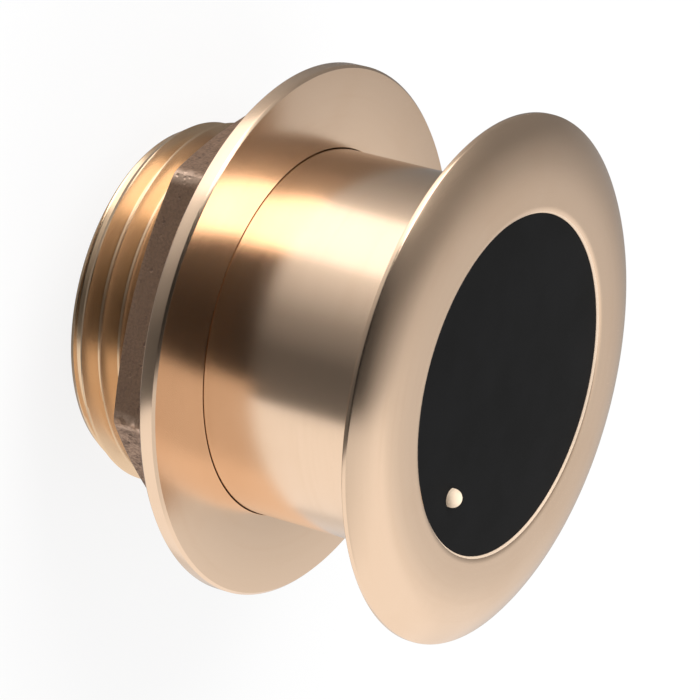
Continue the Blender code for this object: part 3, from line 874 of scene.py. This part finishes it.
@dataclass
class Housing:
    """The mushroom flange, hollow stem and outside thread: one turned bronze casting."""

    stem_radius: float = 0.0254
    bore_radius: float = 0.0208
    stem_fillet: float = 0.0010
    flange_depth: float = 0.0033
    flange_back_round: float = 0.00012
    flange_land: float = 0.00053
    rim_edge_round: float = 0.0003
    crown_power: float = 3.2
    crown_steps: int = 40
    lip_height: float = 0.0005
    lip_round: float = 0.0018
    lip_turn: float = math.radians(24.0)
    lip_steps: int = 8
    lip_bevel: float = 0.00025
    pocket_radius: float = 0.02325
    pocket_depth: float = 0.0060
    rim_chamfer_depth: float = 0.0018
    rim_chamfer_length: float = 0.0031
    rear_bore_chamfer: float = 0.0005
    pitch: float = 0.003175
    thread_depth: float = 0.64 * pitch
    flank_angle: float = math.radians(33.0)
    crest_half: float = 0.015 * pitch
    start_crest_z: float = 0.00265
    pilot_rise: float = 0.00008
    pilot_slope: float = 0.10
    thread_end_z: float = 0.0218
    runout_slope: float = 1.6
    runout_land: float = 0.0003

    def outline(self) -> list[Point]:
        """Draw the turned outline from the thread's end over the flange and down the bore.

        Returns:
            Its points (radius, z).
        """
        flange_radius, _, lip_z = node_size("housing")
        face_z = lip_z - self.lip_height
        seat_z = face_z - self.flange_depth
        land_z = seat_z + self.flange_back_round + self.flange_land
        lip_edge = self.pocket_radius + self.lip_bevel + self.lip_round * math.sin(self.lip_turn)
        width = flange_radius - lip_edge
        crown = []
        for step in range(1, self.crown_steps + 1):
            share = 1 - step / self.crown_steps
            crown.append((lip_edge + width * share, lip_z - (lip_z - land_z) * share**self.crown_power, 0.0))
        for step in range(1, self.lip_steps + 1):
            turn = self.lip_turn * step / self.lip_steps
            inward = lip_edge - self.lip_round * math.sin(turn)
            crown.append((inward, lip_z - self.lip_round * (1 - math.cos(turn)), 0.0))
        corners = [
            (self.stem_radius, self.thread_end_z, 0.0),
            (self.stem_radius, self.thread_end_z + self.runout_land, 0.0),
            (self.stem_radius, seat_z, self.stem_fillet),
            (flange_radius, seat_z, self.flange_back_round),
            (flange_radius, land_z, self.rim_edge_round),
            *crown,
            (self.pocket_radius, crown[-1][1] - self.lip_bevel, 0.0),
            (self.pocket_radius, face_z - self.pocket_depth, 0.0),
            (self.bore_radius, face_z - self.pocket_depth, 0.0),
            (self.bore_radius, self.rear_bore_chamfer, 0.0),
            (self.bore_radius + self.rear_bore_chamfer, 0.0, 0.0),
            (self.stem_radius - self.rim_chamfer_depth, 0.0, 0.0),
        ]
        return rounded(corners)

    def build(self) -> None:
        """Make the casting and let it stand for the CAD node."""
        outline = self.outline()
        # The lip's bevel and the pocket wall take the pale bronze whose colour is a painted highlight round
        # the window.
        spans = [int(radius == self.pocket_radius) for radius, _ in outline[1:]]
        mesh = turned_mesh("housing_body", lambda angle: outline, closed=False, spans=spans)
        made = piece(mesh, TURNED_BRONZE, BEVEL_PAINTED_HIGHLIGHT)
        thread = Thread(
            crest_radius=self.stem_radius,
            root_radius=self.stem_radius - self.thread_depth,
            pitch=self.pitch,
            crest_half=self.crest_half,
            start_crest_z=self.start_crest_z,
            low=0.0,
            high=self.thread_end_z,
            lead_radius=self.stem_radius - self.rim_chamfer_depth,
            lead_slope=self.rim_chamfer_depth / self.rim_chamfer_length,
            mouth_radius=self.stem_radius - self.rim_chamfer_depth + self.pilot_rise,
            mouth_slope=self.pilot_slope,
            runout_radius=self.stem_radius,
            runout_slope=self.runout_slope,
            flank_angle=self.flank_angle,
        )
        thread.add_to(made, THREADED_BRONZE)
        hand_over(made, Slot.TURNED_BRONZE, "housing")


@dataclass(frozen=True)
class Hexagon:
    """A hexagon with rounded corners, seen from the axis."""

    flats_half: float
    corner_round: float
    corner_angle: float = 0.0

    def radius(self, angle: float) -> float:
        """Measure the hexagon along a spoke.

        Args:
            angle: The spoke's angle, in radians.

        Returns:
            The distance from the axis to the outside.
        """
        sixth = math.pi / 3
        from_corner = abs((angle - self.corner_angle + sixth / 2) % sixth - sixth / 2)
        centre = (self.flats_half - self.corner_round) / math.cos(sixth / 2)
        aside = centre * math.sin(from_corner)
        reach = centre * math.cos(from_corner) + math.sqrt(max(0.0, self.corner_round**2 - aside**2))
        foot = self.flats_half * math.tan(sixth / 2 - from_corner)
        if foot <= centre * math.sin(sixth / 2):
            return self.flats_half / math.cos(sixth / 2 - from_corner)
        return reach


@dataclass
class HullNut:
    """The hexagon nut and its round flange: one sand casting, turned on the flange and bored."""

    hexagon: Hexagon = Hexagon(0.0291, 0.0013, math.radians(1.9))
    end_chamfer: float = math.radians(20.0)
    edge_soft: float = 0.00022
    flange_thickness: float = 0.00245
    face_chamfer: float = 0.00035
    back_chamfer: float = 0.0003
    flange_fillet: float = 0.0007
    bore_radius: float = 0.02570
    lip_radius: float = 0.02552
    lip_depth: float = 0.0006
    counterbore_depth: float = 0.0026
    thread_clearance: float = 0.0003
    tooth_truncation: float = 0.0005
    end_points: tuple[Point, ...] = ((2.2, 0.0), (1.6, 0.08))
    edge_points: tuple[Point, ...] = ((1.1, 0.12), (0.35, 0.5))
    side_start: float = 1.4
    flat_rows: int = 16
    fillet_steps: int = 6
    back_soft: float = 0.00009
    face_soft: float = 0.00005
    lip_soft: float = 0.00006
    casting_dent: float = 0.00009
    slow_dents_per_mm: float = 0.45
    fine_dents_per_mm: float = 1.3
    dent_fade: float = 0.3
    housing: Housing = field(default_factory=Housing)

    def dent(self, spot: Vector) -> float:
        """Return how deep the casting is dented at a place in millimetres."""
        slow, fine = (noise.noise(spot * cells) for cells in (self.slow_dents_per_mm, self.fine_dents_per_mm))
        return self.casting_dent * max(0.0, 0.5 + 0.5 * slow + 0.25 * fine)

    def cast_side(self, angle: float) -> list[Point]:
        """Draw the cast stretch of the outline, from the threaded mouth up the hexagon to its fillet.

        The points of the end and its edge are shares of edge_soft, inwards and upwards.

        Args:
            angle: The angle round the axis, in radians.

        Returns:
            Its points (radius, z).
        """
        _, end_z, face_z = node_size("hull_nut")
        outer, flats = self.hexagon.radius(angle), self.hexagon.flats_half
        chamfer_z = end_z + max(0.0, outer - flats) * math.tan(self.end_chamfer)
        low_z = chamfer_z + self.edge_soft * self.side_start
        high_z = face_z - self.flange_thickness - self.flange_fillet
        points = [(self.bore_radius, end_z)]
        for radius, z, ends in ((flats, end_z, self.end_points), (outer, chamfer_z, self.edge_points)):
            points += [(radius - self.edge_soft * inward, z + self.edge_soft * up) for inward, up in ends]
        for row in range(self.flat_rows + 1):
            share = row / self.flat_rows
            z = low_z + (high_z - low_z) * share
            spot = Vector((math.cos(angle) * outer, math.sin(angle) * outer, z)) / MM
            points.append((outer - self.dent(spot) * math.sin(math.pi * share) ** self.dent_fade, z))
        for step in range(1, self.fillet_steps):
            turn = math.pi / 2 * step / self.fillet_steps
            reach = self.flange_fillet * (1 - math.cos(turn))
            points.append((outer + reach, high_z + self.flange_fillet * math.sin(turn)))
        return points

    def turned_flange(self, foot: float) -> list[Point]:
        """Draw the turned stretch of the outline, over the flange and down the counterbore.

        Args:
            foot: The radius where the hexagon's fillet meets the flange.

        Returns:
            Its points (radius, z).
        """
        flange_radius, _, face_z = node_size("hull_nut")
        back_z = face_z - self.flange_thickness
        corners = [
            (foot, back_z, 0.0),
            (flange_radius - self.back_chamfer, back_z, self.back_soft),
            (flange_radius, back_z + self.back_chamfer, self.back_soft),
            (flange_radius, face_z - self.face_chamfer, self.face_soft),
            (flange_radius - self.face_chamfer, face_z, self.face_soft),
            (self.lip_radius, face_z, self.lip_soft),
            (self.lip_radius, face_z - self.lip_depth, 0.0),
            (self.bore_radius, face_z - self.lip_depth, 0.0),
            (self.bore_radius, face_z - self.counterbore_depth, 0.0),
        ]
        return rounded(corners, steps=4)

    def outline(self, angle: float) -> list[Point]:
        """Return the whole outline at an angle, from the threaded mouth to the counterbore."""
        foot = self.hexagon.radius(angle) + self.flange_fillet
        return self.cast_side(angle) + self.turned_flange(foot)

    def build(self) -> None:
        """Make the nut and let it stand for the CAD node."""
        _, end_z, face_z = node_size("hull_nut")
        cast = len(self.cast_side(0.0))
        spans = [int(0 < spot < cast) for spot in range(len(self.outline(0.0)))]
        mesh = turned_mesh("hull_nut_body", self.outline, closed=False, spans=spans)
        made = piece(mesh, TURNED_BRONZE, CAST_BRONZE)
        stem = self.housing
        root_radius = stem.stem_radius - stem.thread_depth
        side = self.thread_clearance / math.cos(stem.flank_angle)
        thread = Thread(
            crest_radius=stem.stem_radius + self.thread_clearance,
            root_radius=root_radius + self.tooth_truncation,
            pitch=stem.pitch,
            crest_half=stem.crest_half + side - self.thread_clearance * math.tan(stem.flank_angle),
            start_crest_z=stem.start_crest_z,
            low=end_z,
            high=face_z - self.counterbore_depth,
            mouth_radius=self.bore_radius,
            mouth_slope=1.0,
            runout_radius=self.bore_radius,
            runout_slope=1.0,
            inside=True,
            flank_angle=stem.flank_angle,
        )
        thread.add_to(made, THREADED_BRONZE)
        hand_over(made, Slot.CAST_BRONZE, "hull_nut")


@dataclass
class SonarFace:
    """The black cast window and the domed pin of the temperature sensor in it."""

    bond: float = 0.00002
    edge_round: float = 0.00005
    sunk: float = 0.00044
    spigot_height: float = 0.0015
    columns: int = 192
    pin_gap: float = 0.00004
    pin_columns: int = 64
    dome_steps: int = 16
    drill_length: float = 0.02

    @staticmethod
    def pin_place() -> tuple[Vector, float]:
        """Return where the CAD pin's axis stands and the pin's radius."""
        low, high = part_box("temperature_pin")
        return (low + high) / 2, (high.x - low.x) / 2

    def build_window(self) -> None:
        """Make the window, sunk a little under the lip, with a hole for the pin."""
        housing = Housing()
        _, low, _ = node_size("acoustic_window")
        face_z = node_size("housing")[2] - self.sunk
        floor_z = low + self.spigot_height
        radius = housing.pocket_radius - self.bond
        corners = [
            (0.0, low, 0.0),
            (housing.bore_radius - self.bond, low, 0.0),
            (housing.bore_radius - self.bond, floor_z, 0.0),
            (radius, floor_z, 0.0),
            (radius, face_z, self.edge_round),
            (0.0, face_z, 0.0),
        ]
        outline = rounded(corners)
        mesh = turned_mesh("window_body", lambda angle: outline, closed=False, columns=self.columns)
        made = piece(mesh, BLACK_URETHANE)
        centre, pin_radius = self.pin_place()
        reach = pin_radius + self.pin_gap
        bm = bmesh.new()
        bmesh.ops.create_cone(
            bm, cap_ends=True, segments=self.pin_columns, radius1=reach, radius2=reach,
            depth=self.drill_length, matrix=Matrix.Translation((centre.x, centre.y, face_z)),
        )
        drill = placed("pin_drill", mesh_from(bm, "pin_drill"))
        cut = made.modifiers.new("pin_hole", "BOOLEAN")
        cut.object = drill
        cut.operation = "DIFFERENCE"
        bake(made)
        bpy.data.objects.remove(drill)
        hand_over(made, Slot.BLACK_URETHANE, "acoustic_window")

    def build_pin(self) -> None:
        """Make the pin with a softly domed head."""
        centre, radius = self.pin_place()
        low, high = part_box("temperature_pin")
        dome = []
        for step in range(self.dome_steps + 1):
            turn = math.pi / 2 * step / self.dome_steps
            dome.append((radius * math.cos(turn), high.z - radius + radius * math.sin(turn)))
        outline = [(0.0, low.z), (radius, low.z), *dome]
        mesh = turned_mesh("sensor_pin", lambda angle: outline, closed=False, columns=self.pin_columns)
        mesh.transform(Matrix.Translation((centre.x, centre.y, 0.0)))
        hand_over(piece(mesh, PIN_BRONZE), Slot.BRIGHT_BRASS, "temperature_pin")

    def build(self) -> None:
        """Make both pieces."""
        self.build_window()
        self.build_pin()


@dataclass
class RearClosure:
    """The potting that plugs the stem's rear end, and the cable's inlet in it."""

    bond: float = 0.00004
    meniscus: float = 0.0006
    meniscus_steps: int = 8
    plug_columns: int = 192
    bush_radius: float = 0.0070
    bush_inner: float = 0.0056
    bush_throat: float = 0.0042
    seal_seat_z: float = 0.0077
    bush_shoulder_z: float = 0.0108
    bush_top_round: float = 0.0004
    edge_break: float = 0.0003
    thread_lead: float = 0.0006
    thread_depth: float = 0.0005
    thread_pitch: float = 0.0010
    thread_crest_half: float = 0.00012
    thread_edge_round: float = 0.00004
    thread_start: float = 0.0004
    thread_end_z: float = 0.0058
    thread_runout: float = 1.2
    thread_rows: int = 12
    nut_bore: float = 0.00705
    nut_land: float = 0.0002
    nut_chamfer: float = math.radians(25.0)
    nut_hexagon: Hexagon = Hexagon(0.0100, 0.0005)
    seal_inner: float = 0.0039
    seal_lip: float = 0.0005
    columns: int = 128

    def potting(self) -> list[Point]:
        """Draw the plug's outline, with the epoxy drawn up along the bore's wall.

        Returns:
            Its points (radius, z).
        """
        _, back_z, front_z = node_size("rear_potting")
        outer = Housing().bore_radius - self.bond
        inner = self.bush_radius + self.bond
        outline = [(inner, back_z)]
        for step in range(self.meniscus_steps + 1):
            share = step / self.meniscus_steps
            outline.append((outer - self.meniscus * 2 * (1 - share), back_z - self.meniscus * share**2))
        return [*outline, (outer, front_z), (inner, front_z)]

    def bush(self) -> list[Point]:
        """Draw the bush's outline above its outside thread, over the shoulder and down the bore.

        Returns:
            Its points (radius, z).
        """
        shoulder, back_z, top_z = node_size("cable_bush")
        corners = [
            (self.bush_radius, self.thread_end_z, 0.0),
            (self.bush_radius, self.bush_shoulder_z, 0.0),
            (shoulder, self.bush_shoulder_z, self.edge_break),
            (shoulder, top_z, self.bush_top_round),
            (self.bush_throat, top_z, self.bush_top_round),
            (self.bush_throat, self.seal_seat_z, 0.0),
            (self.bush_inner, self.seal_seat_z, 0.0),
            (self.bush_inner, back_z + self.edge_break, 0.0),
            (self.bush_inner + self.edge_break, back_z, 0.0),
            (self.bush_radius - self.thread_lead, back_z, 0.0),
        ]
        return rounded(corners)

    def nut(self, angle: float) -> list[Point]:
        """Draw the bush nut's outline.

        Args:
            angle: The angle round the axis, in radians.

        Returns:
            Its points (radius, z).
        """
        _, back_z, top_z = node_size("bush_nut")
        outer = self.nut_hexagon.radius(angle)
        land = self.nut_hexagon.flats_half - self.nut_land
        fall = max(0.0, outer - land) * math.tan(self.nut_chamfer)
        return [
            (self.nut_bore, back_z + self.edge_break),
            (self.nut_bore + self.edge_break, back_z),
            (land, back_z),
            (outer, back_z + fall),
            (outer, top_z - fall),
            (land, top_z),
            (self.nut_bore, top_z),
        ]

    def seal(self) -> list[Point]:
        """Draw the seal's outline, a sleeve with rounded lips.

        Returns:
            Its points (radius, z).
        """
        outer, back_z, top_z = node_size("cable_seal")
        middle = ((self.seal_inner + outer) / 2, back_z, 0.0)
        corners = [(outer, back_z), (outer, top_z), (self.seal_inner, top_z), (self.seal_inner, back_z)]
        return rounded([middle, *((*corner, self.seal_lip) for corner in corners), middle])[:-1]

    def build_bush(self) -> None:
        """Make the bush, with its outside thread."""
        _, back_z, _ = node_size("cable_bush")
        outline = self.bush()
        mesh = turned_mesh("inlet_bush", lambda angle: outline, closed=False, columns=self.columns)
        made = piece(mesh, BRIGHT_BRASS)
        thread = Thread(
            crest_radius=self.bush_radius,
            root_radius=self.bush_radius - self.thread_depth,
            pitch=self.thread_pitch,
            crest_half=self.thread_crest_half,
            start_crest_z=back_z + self.thread_start,
            low=back_z,
            high=self.thread_end_z,
            lead_radius=self.bush_radius - self.thread_lead,
            lead_slope=1.0,
            runout_radius=self.bush_radius,
            runout_slope=self.thread_runout,
            edge_round=self.thread_edge_round,
            rows_per_turn=self.thread_rows,
            columns=self.columns,
        )
        thread.add_to(made, BRIGHT_BRASS)
        hand_over(made, Slot.BRIGHT_BRASS, "cable_bush")

    def build(self) -> None:
        """Make the four pieces."""
        plug, sleeve = self.potting(), self.seal()
        mesh = turned_mesh("rear_plug", lambda angle: plug, columns=self.plug_columns)
        hand_over(piece(mesh, POTTING_EPOXY), Slot.POTTING_EPOXY, "rear_potting")
        self.build_bush()
        mesh = turned_mesh("inlet_nut", self.nut, columns=self.columns)
        hand_over(piece(mesh, BRIGHT_BRASS), Slot.BRIGHT_BRASS, "bush_nut")
        mesh = turned_mesh("inlet_seal", lambda angle: sleeve, columns=self.columns)
        hand_over(piece(mesh, BLACK_URETHANE), Slot.BLACK_URETHANE, "cable_seal")


@dataclass
class InnerParts:
    """The parts inside the housing. They keep their solids' shapes and get their finishes here."""

    finishes: dict[str, Finish] = field(default_factory=lambda: {
        "thermistor_bead": BEAD_GLAZE,
        "thermistor_lead_1": RED_INSULATION,
        "thermistor_lead_2": RED_INSULATION,
        "piezo_ceramic": SILVERED_CERAMIC,
        "element_sleeve": CORK,
        "backing_disc": CORK,
        "element_carrier": BLACK_PLASTIC,
        "ceramic_lead_live": BLUE_INSULATION,
        "ceramic_lead_ground": BLUE_INSULATION,
        "circuit_board": GREEN_BOARD,
        "board_standoff_1": BRIGHT_BRASS,
        "board_standoff_2": BRIGHT_BRASS,
        "board_standoff_3": BRIGHT_BRASS,
        "transformer_core": FERRITE,
        "transformer_winding": ENAMELLED_COPPER,
        "tuning_capacitor": YELLOW_FILM,
        "id_chip": BLACK_PLASTIC,
    })

    def build(self) -> None:
        """Give every inner node its finish."""
        for name, finish in self.finishes.items():
            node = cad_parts[name]
            if not node.material_slots:
                node.data.materials.append(None)
            for place in node.material_slots:
                place.material = finish.material()
            log.info("%s: %s", name, finish.name)


def between(table: Sequence[Point], place: float) -> float:
    """Look up a table, straight between its entries.

    Args:
        table: Pairs (place, value), in rising order of place.
        place: Where to look.

    Returns:
        The value there, which is the nearest entry's outside the table.
    """
    if place <= table[0][0]:
        return table[0][1]
    for (before, low), (after, high) in zip(table, table[1:]):
        if place <= after:
            return low + (high - low) * (place - before) / (after - before)
    return table[-1][1]


@dataclass(frozen=True)
class Room:
    """What polished surfaces see: a white table, a dark side, grey walls and a softbox overhead.

    It stands upright as the picture does. Turns are in degrees from the camera's side towards the
    picture's right, rises in degrees above level, and shades are strengths of light.
    """

    right: Spot = (-0.2557, 0.4709, 0.8443)
    up: Spot = (-0.9668, -0.1232, -0.2241)
    near: Spot = (-0.0015, -0.8736, 0.4867)
    table_edge: tuple[Point, ...] = (
        (-180.0, -42.0), (-110.0, -25.0), (-75.0, -25.0), (-25.0, -36.0), (60.0, -27.0), (90.0, -20.0),
        (110.0, -28.0), (180.0, -42.0),
    )
    table_blur: tuple[Point, ...] = ((5.0, 1.5), (25.0, 6.0))
    table_light: tuple[Point, ...] = ((-60.0, 1.0), (0.0, 0.75), (45.0, 0.75), (90.0, 1.0))
    front_wall: tuple[Point, ...] = ((0.0, 0.1), (20.0, 0.3), (50.0, 1.0))
    back_wall: tuple[Point, ...] = ((-25.0, 0.9), (0.0, 0.4), (20.0, 0.2), (60.0, 0.3))
    back_share: tuple[Point, ...] = (
        (-180.0, 1.0), (-120.0, 0.2), (-60.0, 0.0), (50.0, 0.0), (100.0, 1.0), (180.0, 1.0),
    )
    camera_shadow: tuple[Point, ...] = ((-60.0, 1.0), (-20.0, 0.2), (30.0, 0.2), (60.0, 1.0))
    softbox_lowest: float = 0.1
    softbox_turn: float = math.radians(40.0)
    softbox_along: Point = (-1.1, 2.2)
    softbox_near: tuple[Point, ...] = ((-0.3, 0.0), (0.9, -0.25))
    softbox_far: float = 0.75
    softbox_blur: float = 0.04
    softbox_shade: tuple[Point, ...] = ((-0.5, 1.5), (1.0, 3.5))
    centre: Spot = (0.0, 0.0, 0.03)
    reach: float = 8.0
    columns: int = 216
    rows: int = 120

    def softbox(self, side: float, height: float, front: float) -> tuple[float, float]:
        """Look at the softbox along a direction, given by its three parts in the picture.

        Args:
            side: How far it goes to the right.
            height: How far it goes up.
            front: How far it goes towards the camera.

        Returns:
            How much of the softbox it meets, from 0 to 1, and the softbox's light there.
        """
        if height < self.softbox_lowest:
            return 0.0, 0.0
        cosine, sine = math.cos(self.softbox_turn), math.sin(self.softbox_turn)
        along = (side * cosine + front * sine) / height
        across = (front * cosine - side * sine) / height
        low, high = self.softbox_along
        deep = min(across - between(self.softbox_near, along), self.softbox_far - across)
        inner = min(along - low, high - along, deep)
        return max(0.0, min(1.0, 0.5 + inner / self.softbox_blur)), between(self.softbox_shade, along)

    def shade(self, way: Vector) -> float:
        """Work out the light that comes from a direction.

        Args:
            way: The direction, away from the part.

        Returns:
            The strength of the light.
        """
        way = way.normalized()
        side, height, front = (way.dot(Vector(axis)) for axis in (self.right, self.up, self.near))
        rise = math.degrees(math.asin(max(-1.0, min(1.0, height))))
        turn = math.degrees(math.atan2(side, front))
        front_light = between(self.front_wall, rise) * between(self.camera_shadow, turn)
        back_light = between(self.back_wall, rise)
        wall = front_light + (back_light - front_light) * between(self.back_share, turn)
        over = (between(self.table_edge, turn) - rise) / between(self.table_blur, turn)
        table = max(0.0, min(1.0, 0.5 + over))
        wall += (between(self.table_light, turn) - wall) * table
        share, light = self.softbox(side, height, front)
        return wall + (light - wall) * share

    @staticmethod
    def material() -> bpy.types.Material:
        """Make the room's material, which shines as the mesh's shade says.

        Returns:
            The material.
        """
        made, tree = new_material("room_shade")
        made.cycles.emission_sampling = "NONE"
        shade = tree.value("ShaderNodeAttribute", {"attribute_name": "shade"}, output="Fac")
        glow = tree.node("ShaderNodeEmission", inputs={"Color": shade, "Strength": 1.0})
        tree.node("ShaderNodeOutputMaterial", inputs={0: glow.outputs[0]})
        return made

    def build(self) -> bpy.types.Object:
        """Make the room's inside, a wide sphere whose points carry their shades.

        Returns:
            The room, which only reflections show.
        """
        bm = bmesh.new()
        bmesh.ops.create_uvsphere(bm, u_segments=self.columns, v_segments=self.rows, radius=self.reach)
        bmesh.ops.reverse_faces(bm, faces=bm.faces)
        mesh = mesh_from(bm, "room")
        shades = [self.shade(vertex.co) for vertex in mesh.vertices]
        mesh.attributes.new("shade", "FLOAT", "POINT").data.foreach_set("value", shades)
        mesh.materials.append(self.material())
        made = placed("room", mesh)
        made.location = self.centre
        made.visible_camera = False
        made.visible_diffuse = False
        made.visible_shadow = False
        return made


@dataclass
class Studio:
    """A white floor under a white sky, soft lamps, the room round them and the camera.

    Each lamp is its name, its place, the side of its square and its watts.
    """

    white: float = 1.0
    plain_light: float = 0.75
    floor_glow: float = 0.84
    floor_size: float = 40.0
    floor_colour: Colour = (0.82, 0.82, 0.82)
    lamps: tuple[tuple[str, Spot, float, float], ...] = (
        ("key_lamp", (-0.55, -0.25, 0.75), 0.6, 7.0),
        ("fill_lamp", (0.6, 0.45, 0.8), 0.8, 4.2),
    )
    camera_place: Spot = (0.0000085, -0.495007, 0.305259)
    camera_down: float = math.radians(29.126)
    camera_turn: float = math.radians(-0.1015)
    camera_roll: float = math.radians(104.865)
    lens: float = 216.564
    nearest: float = 0.01
    room: Room = Room()

    @staticmethod
    def seen(tree: Tree) -> Value:
        """Tell the rays that look at a background from those that only light.

        Args:
            tree: The floor's or the world's tree.

        Returns:
            1 for camera, glossy and transmission rays, and 0 for others.
        """
        path = tree.node("ShaderNodeLightPath")
        rays = [Value(tree, path.outputs[f"Is {kind} Ray"]) for kind in ("Camera", "Glossy", "Transmission")]
        return rays[0].at_least(rays[1]).at_least(rays[2])

    def sky(self) -> None:
        """Make the world: white to look at, and a plain level of light."""
        world = bpy.data.worlds.new("studio_sky")
        bpy.context.scene.world = world
        world.use_nodes = True
        world.cycles.sampling_method = "NONE"
        tree = Tree(world.node_tree)
        level = self.plain_light + self.seen(tree) * (self.white - self.plain_light)
        light = tree.node("ShaderNodeBackground", inputs={"Strength": level})
        tree.node("ShaderNodeOutputWorld", inputs={0: light.outputs[0]})

    def floor(self) -> bpy.types.Object:
        """Make the pale floor, which glows to the eye and still takes the part's shadow.

        Returns:
            The floor.
        """
        half = self.floor_size / 2
        mesh = bpy.data.meshes.new("floor")
        corners = [(-half, -half, 0.0), (half, -half, 0.0), (half, half, 0.0), (-half, half, 0.0)]
        mesh.from_pydata(corners, [], [(0, 1, 2, 3)])
        material, tree = new_material("pale_floor")
        material.cycles.emission_sampling = "NONE"
        matt = tree.node("ShaderNodeBsdfDiffuse", inputs={"Color": (*self.floor_colour, 1.0)})
        glow = tree.node("ShaderNodeEmission", inputs={"Strength": self.white})
        shares = {0: self.seen(tree) * self.floor_glow, 1: matt.outputs[0], 2: glow.outputs[0]}
        mixed = tree.node("ShaderNodeMixShader", inputs=shares)
        tree.node("ShaderNodeOutputMaterial", inputs={0: mixed.outputs[0]})
        mesh.materials.append(material)
        made = placed("floor", mesh)
        made.visible_glossy = False
        return made

    @staticmethod
    def lamp(name: str, place: Spot, size: float, watts: float) -> bpy.types.Object:
        """Make a large soft lamp that faces the part.

        Args:
            name: The lamp's name.
            place: Where it stands.
            size: The side of its square, in metres.
            watts: Its power.

        Returns:
            The lamp, which no reflection shows.
        """
        data = bpy.data.lights.new(name, "AREA")
        data.size = size
        data.energy = watts
        made = placed(name, data)
        made.location = place
        made.rotation_euler = (-Vector(place)).to_track_quat("-Z", "Y").to_euler()
        made.visible_glossy = False
        return made

    def camera(self) -> bpy.types.Object:
        """Make the camera at the photograph's place.

        Returns:
            The camera.
        """
        data = bpy.data.cameras.new("camera")
        data.lens = self.lens
        data.clip_start = self.nearest
        made = placed("camera", data)
        turn = Matrix.Rotation(self.camera_turn, 4, "Z")
        tilt = Matrix.Rotation(math.pi / 2 - self.camera_down, 4, "X")
        roll = Matrix.Rotation(self.camera_roll, 4, "Z")
        made.matrix_world = Matrix.Translation(self.camera_place) @ turn @ tilt @ roll
        bpy.context.scene.camera = made
        return made

    def build(self) -> None:
        """Make the sky, the lamps, the room, the floor and the camera."""
        bpy.context.scene.view_settings.view_transform = "Standard"
        self.sky()
        lamps = [self.lamp(*lamp) for lamp in self.lamps]
        self.room.build()
        self.floor()
        self.camera()


def main() -> None:
    """Build the pieces and the studio, in order, and note the sizes."""
    logging.basicConfig(level=logging.INFO, format="%(name)s %(message)s")
    for group in (Housing(), HullNut(), SonarFace(), RearClosure(), InnerParts(), Studio()):
        group.build()


if __name__ == "__main__":
    main()
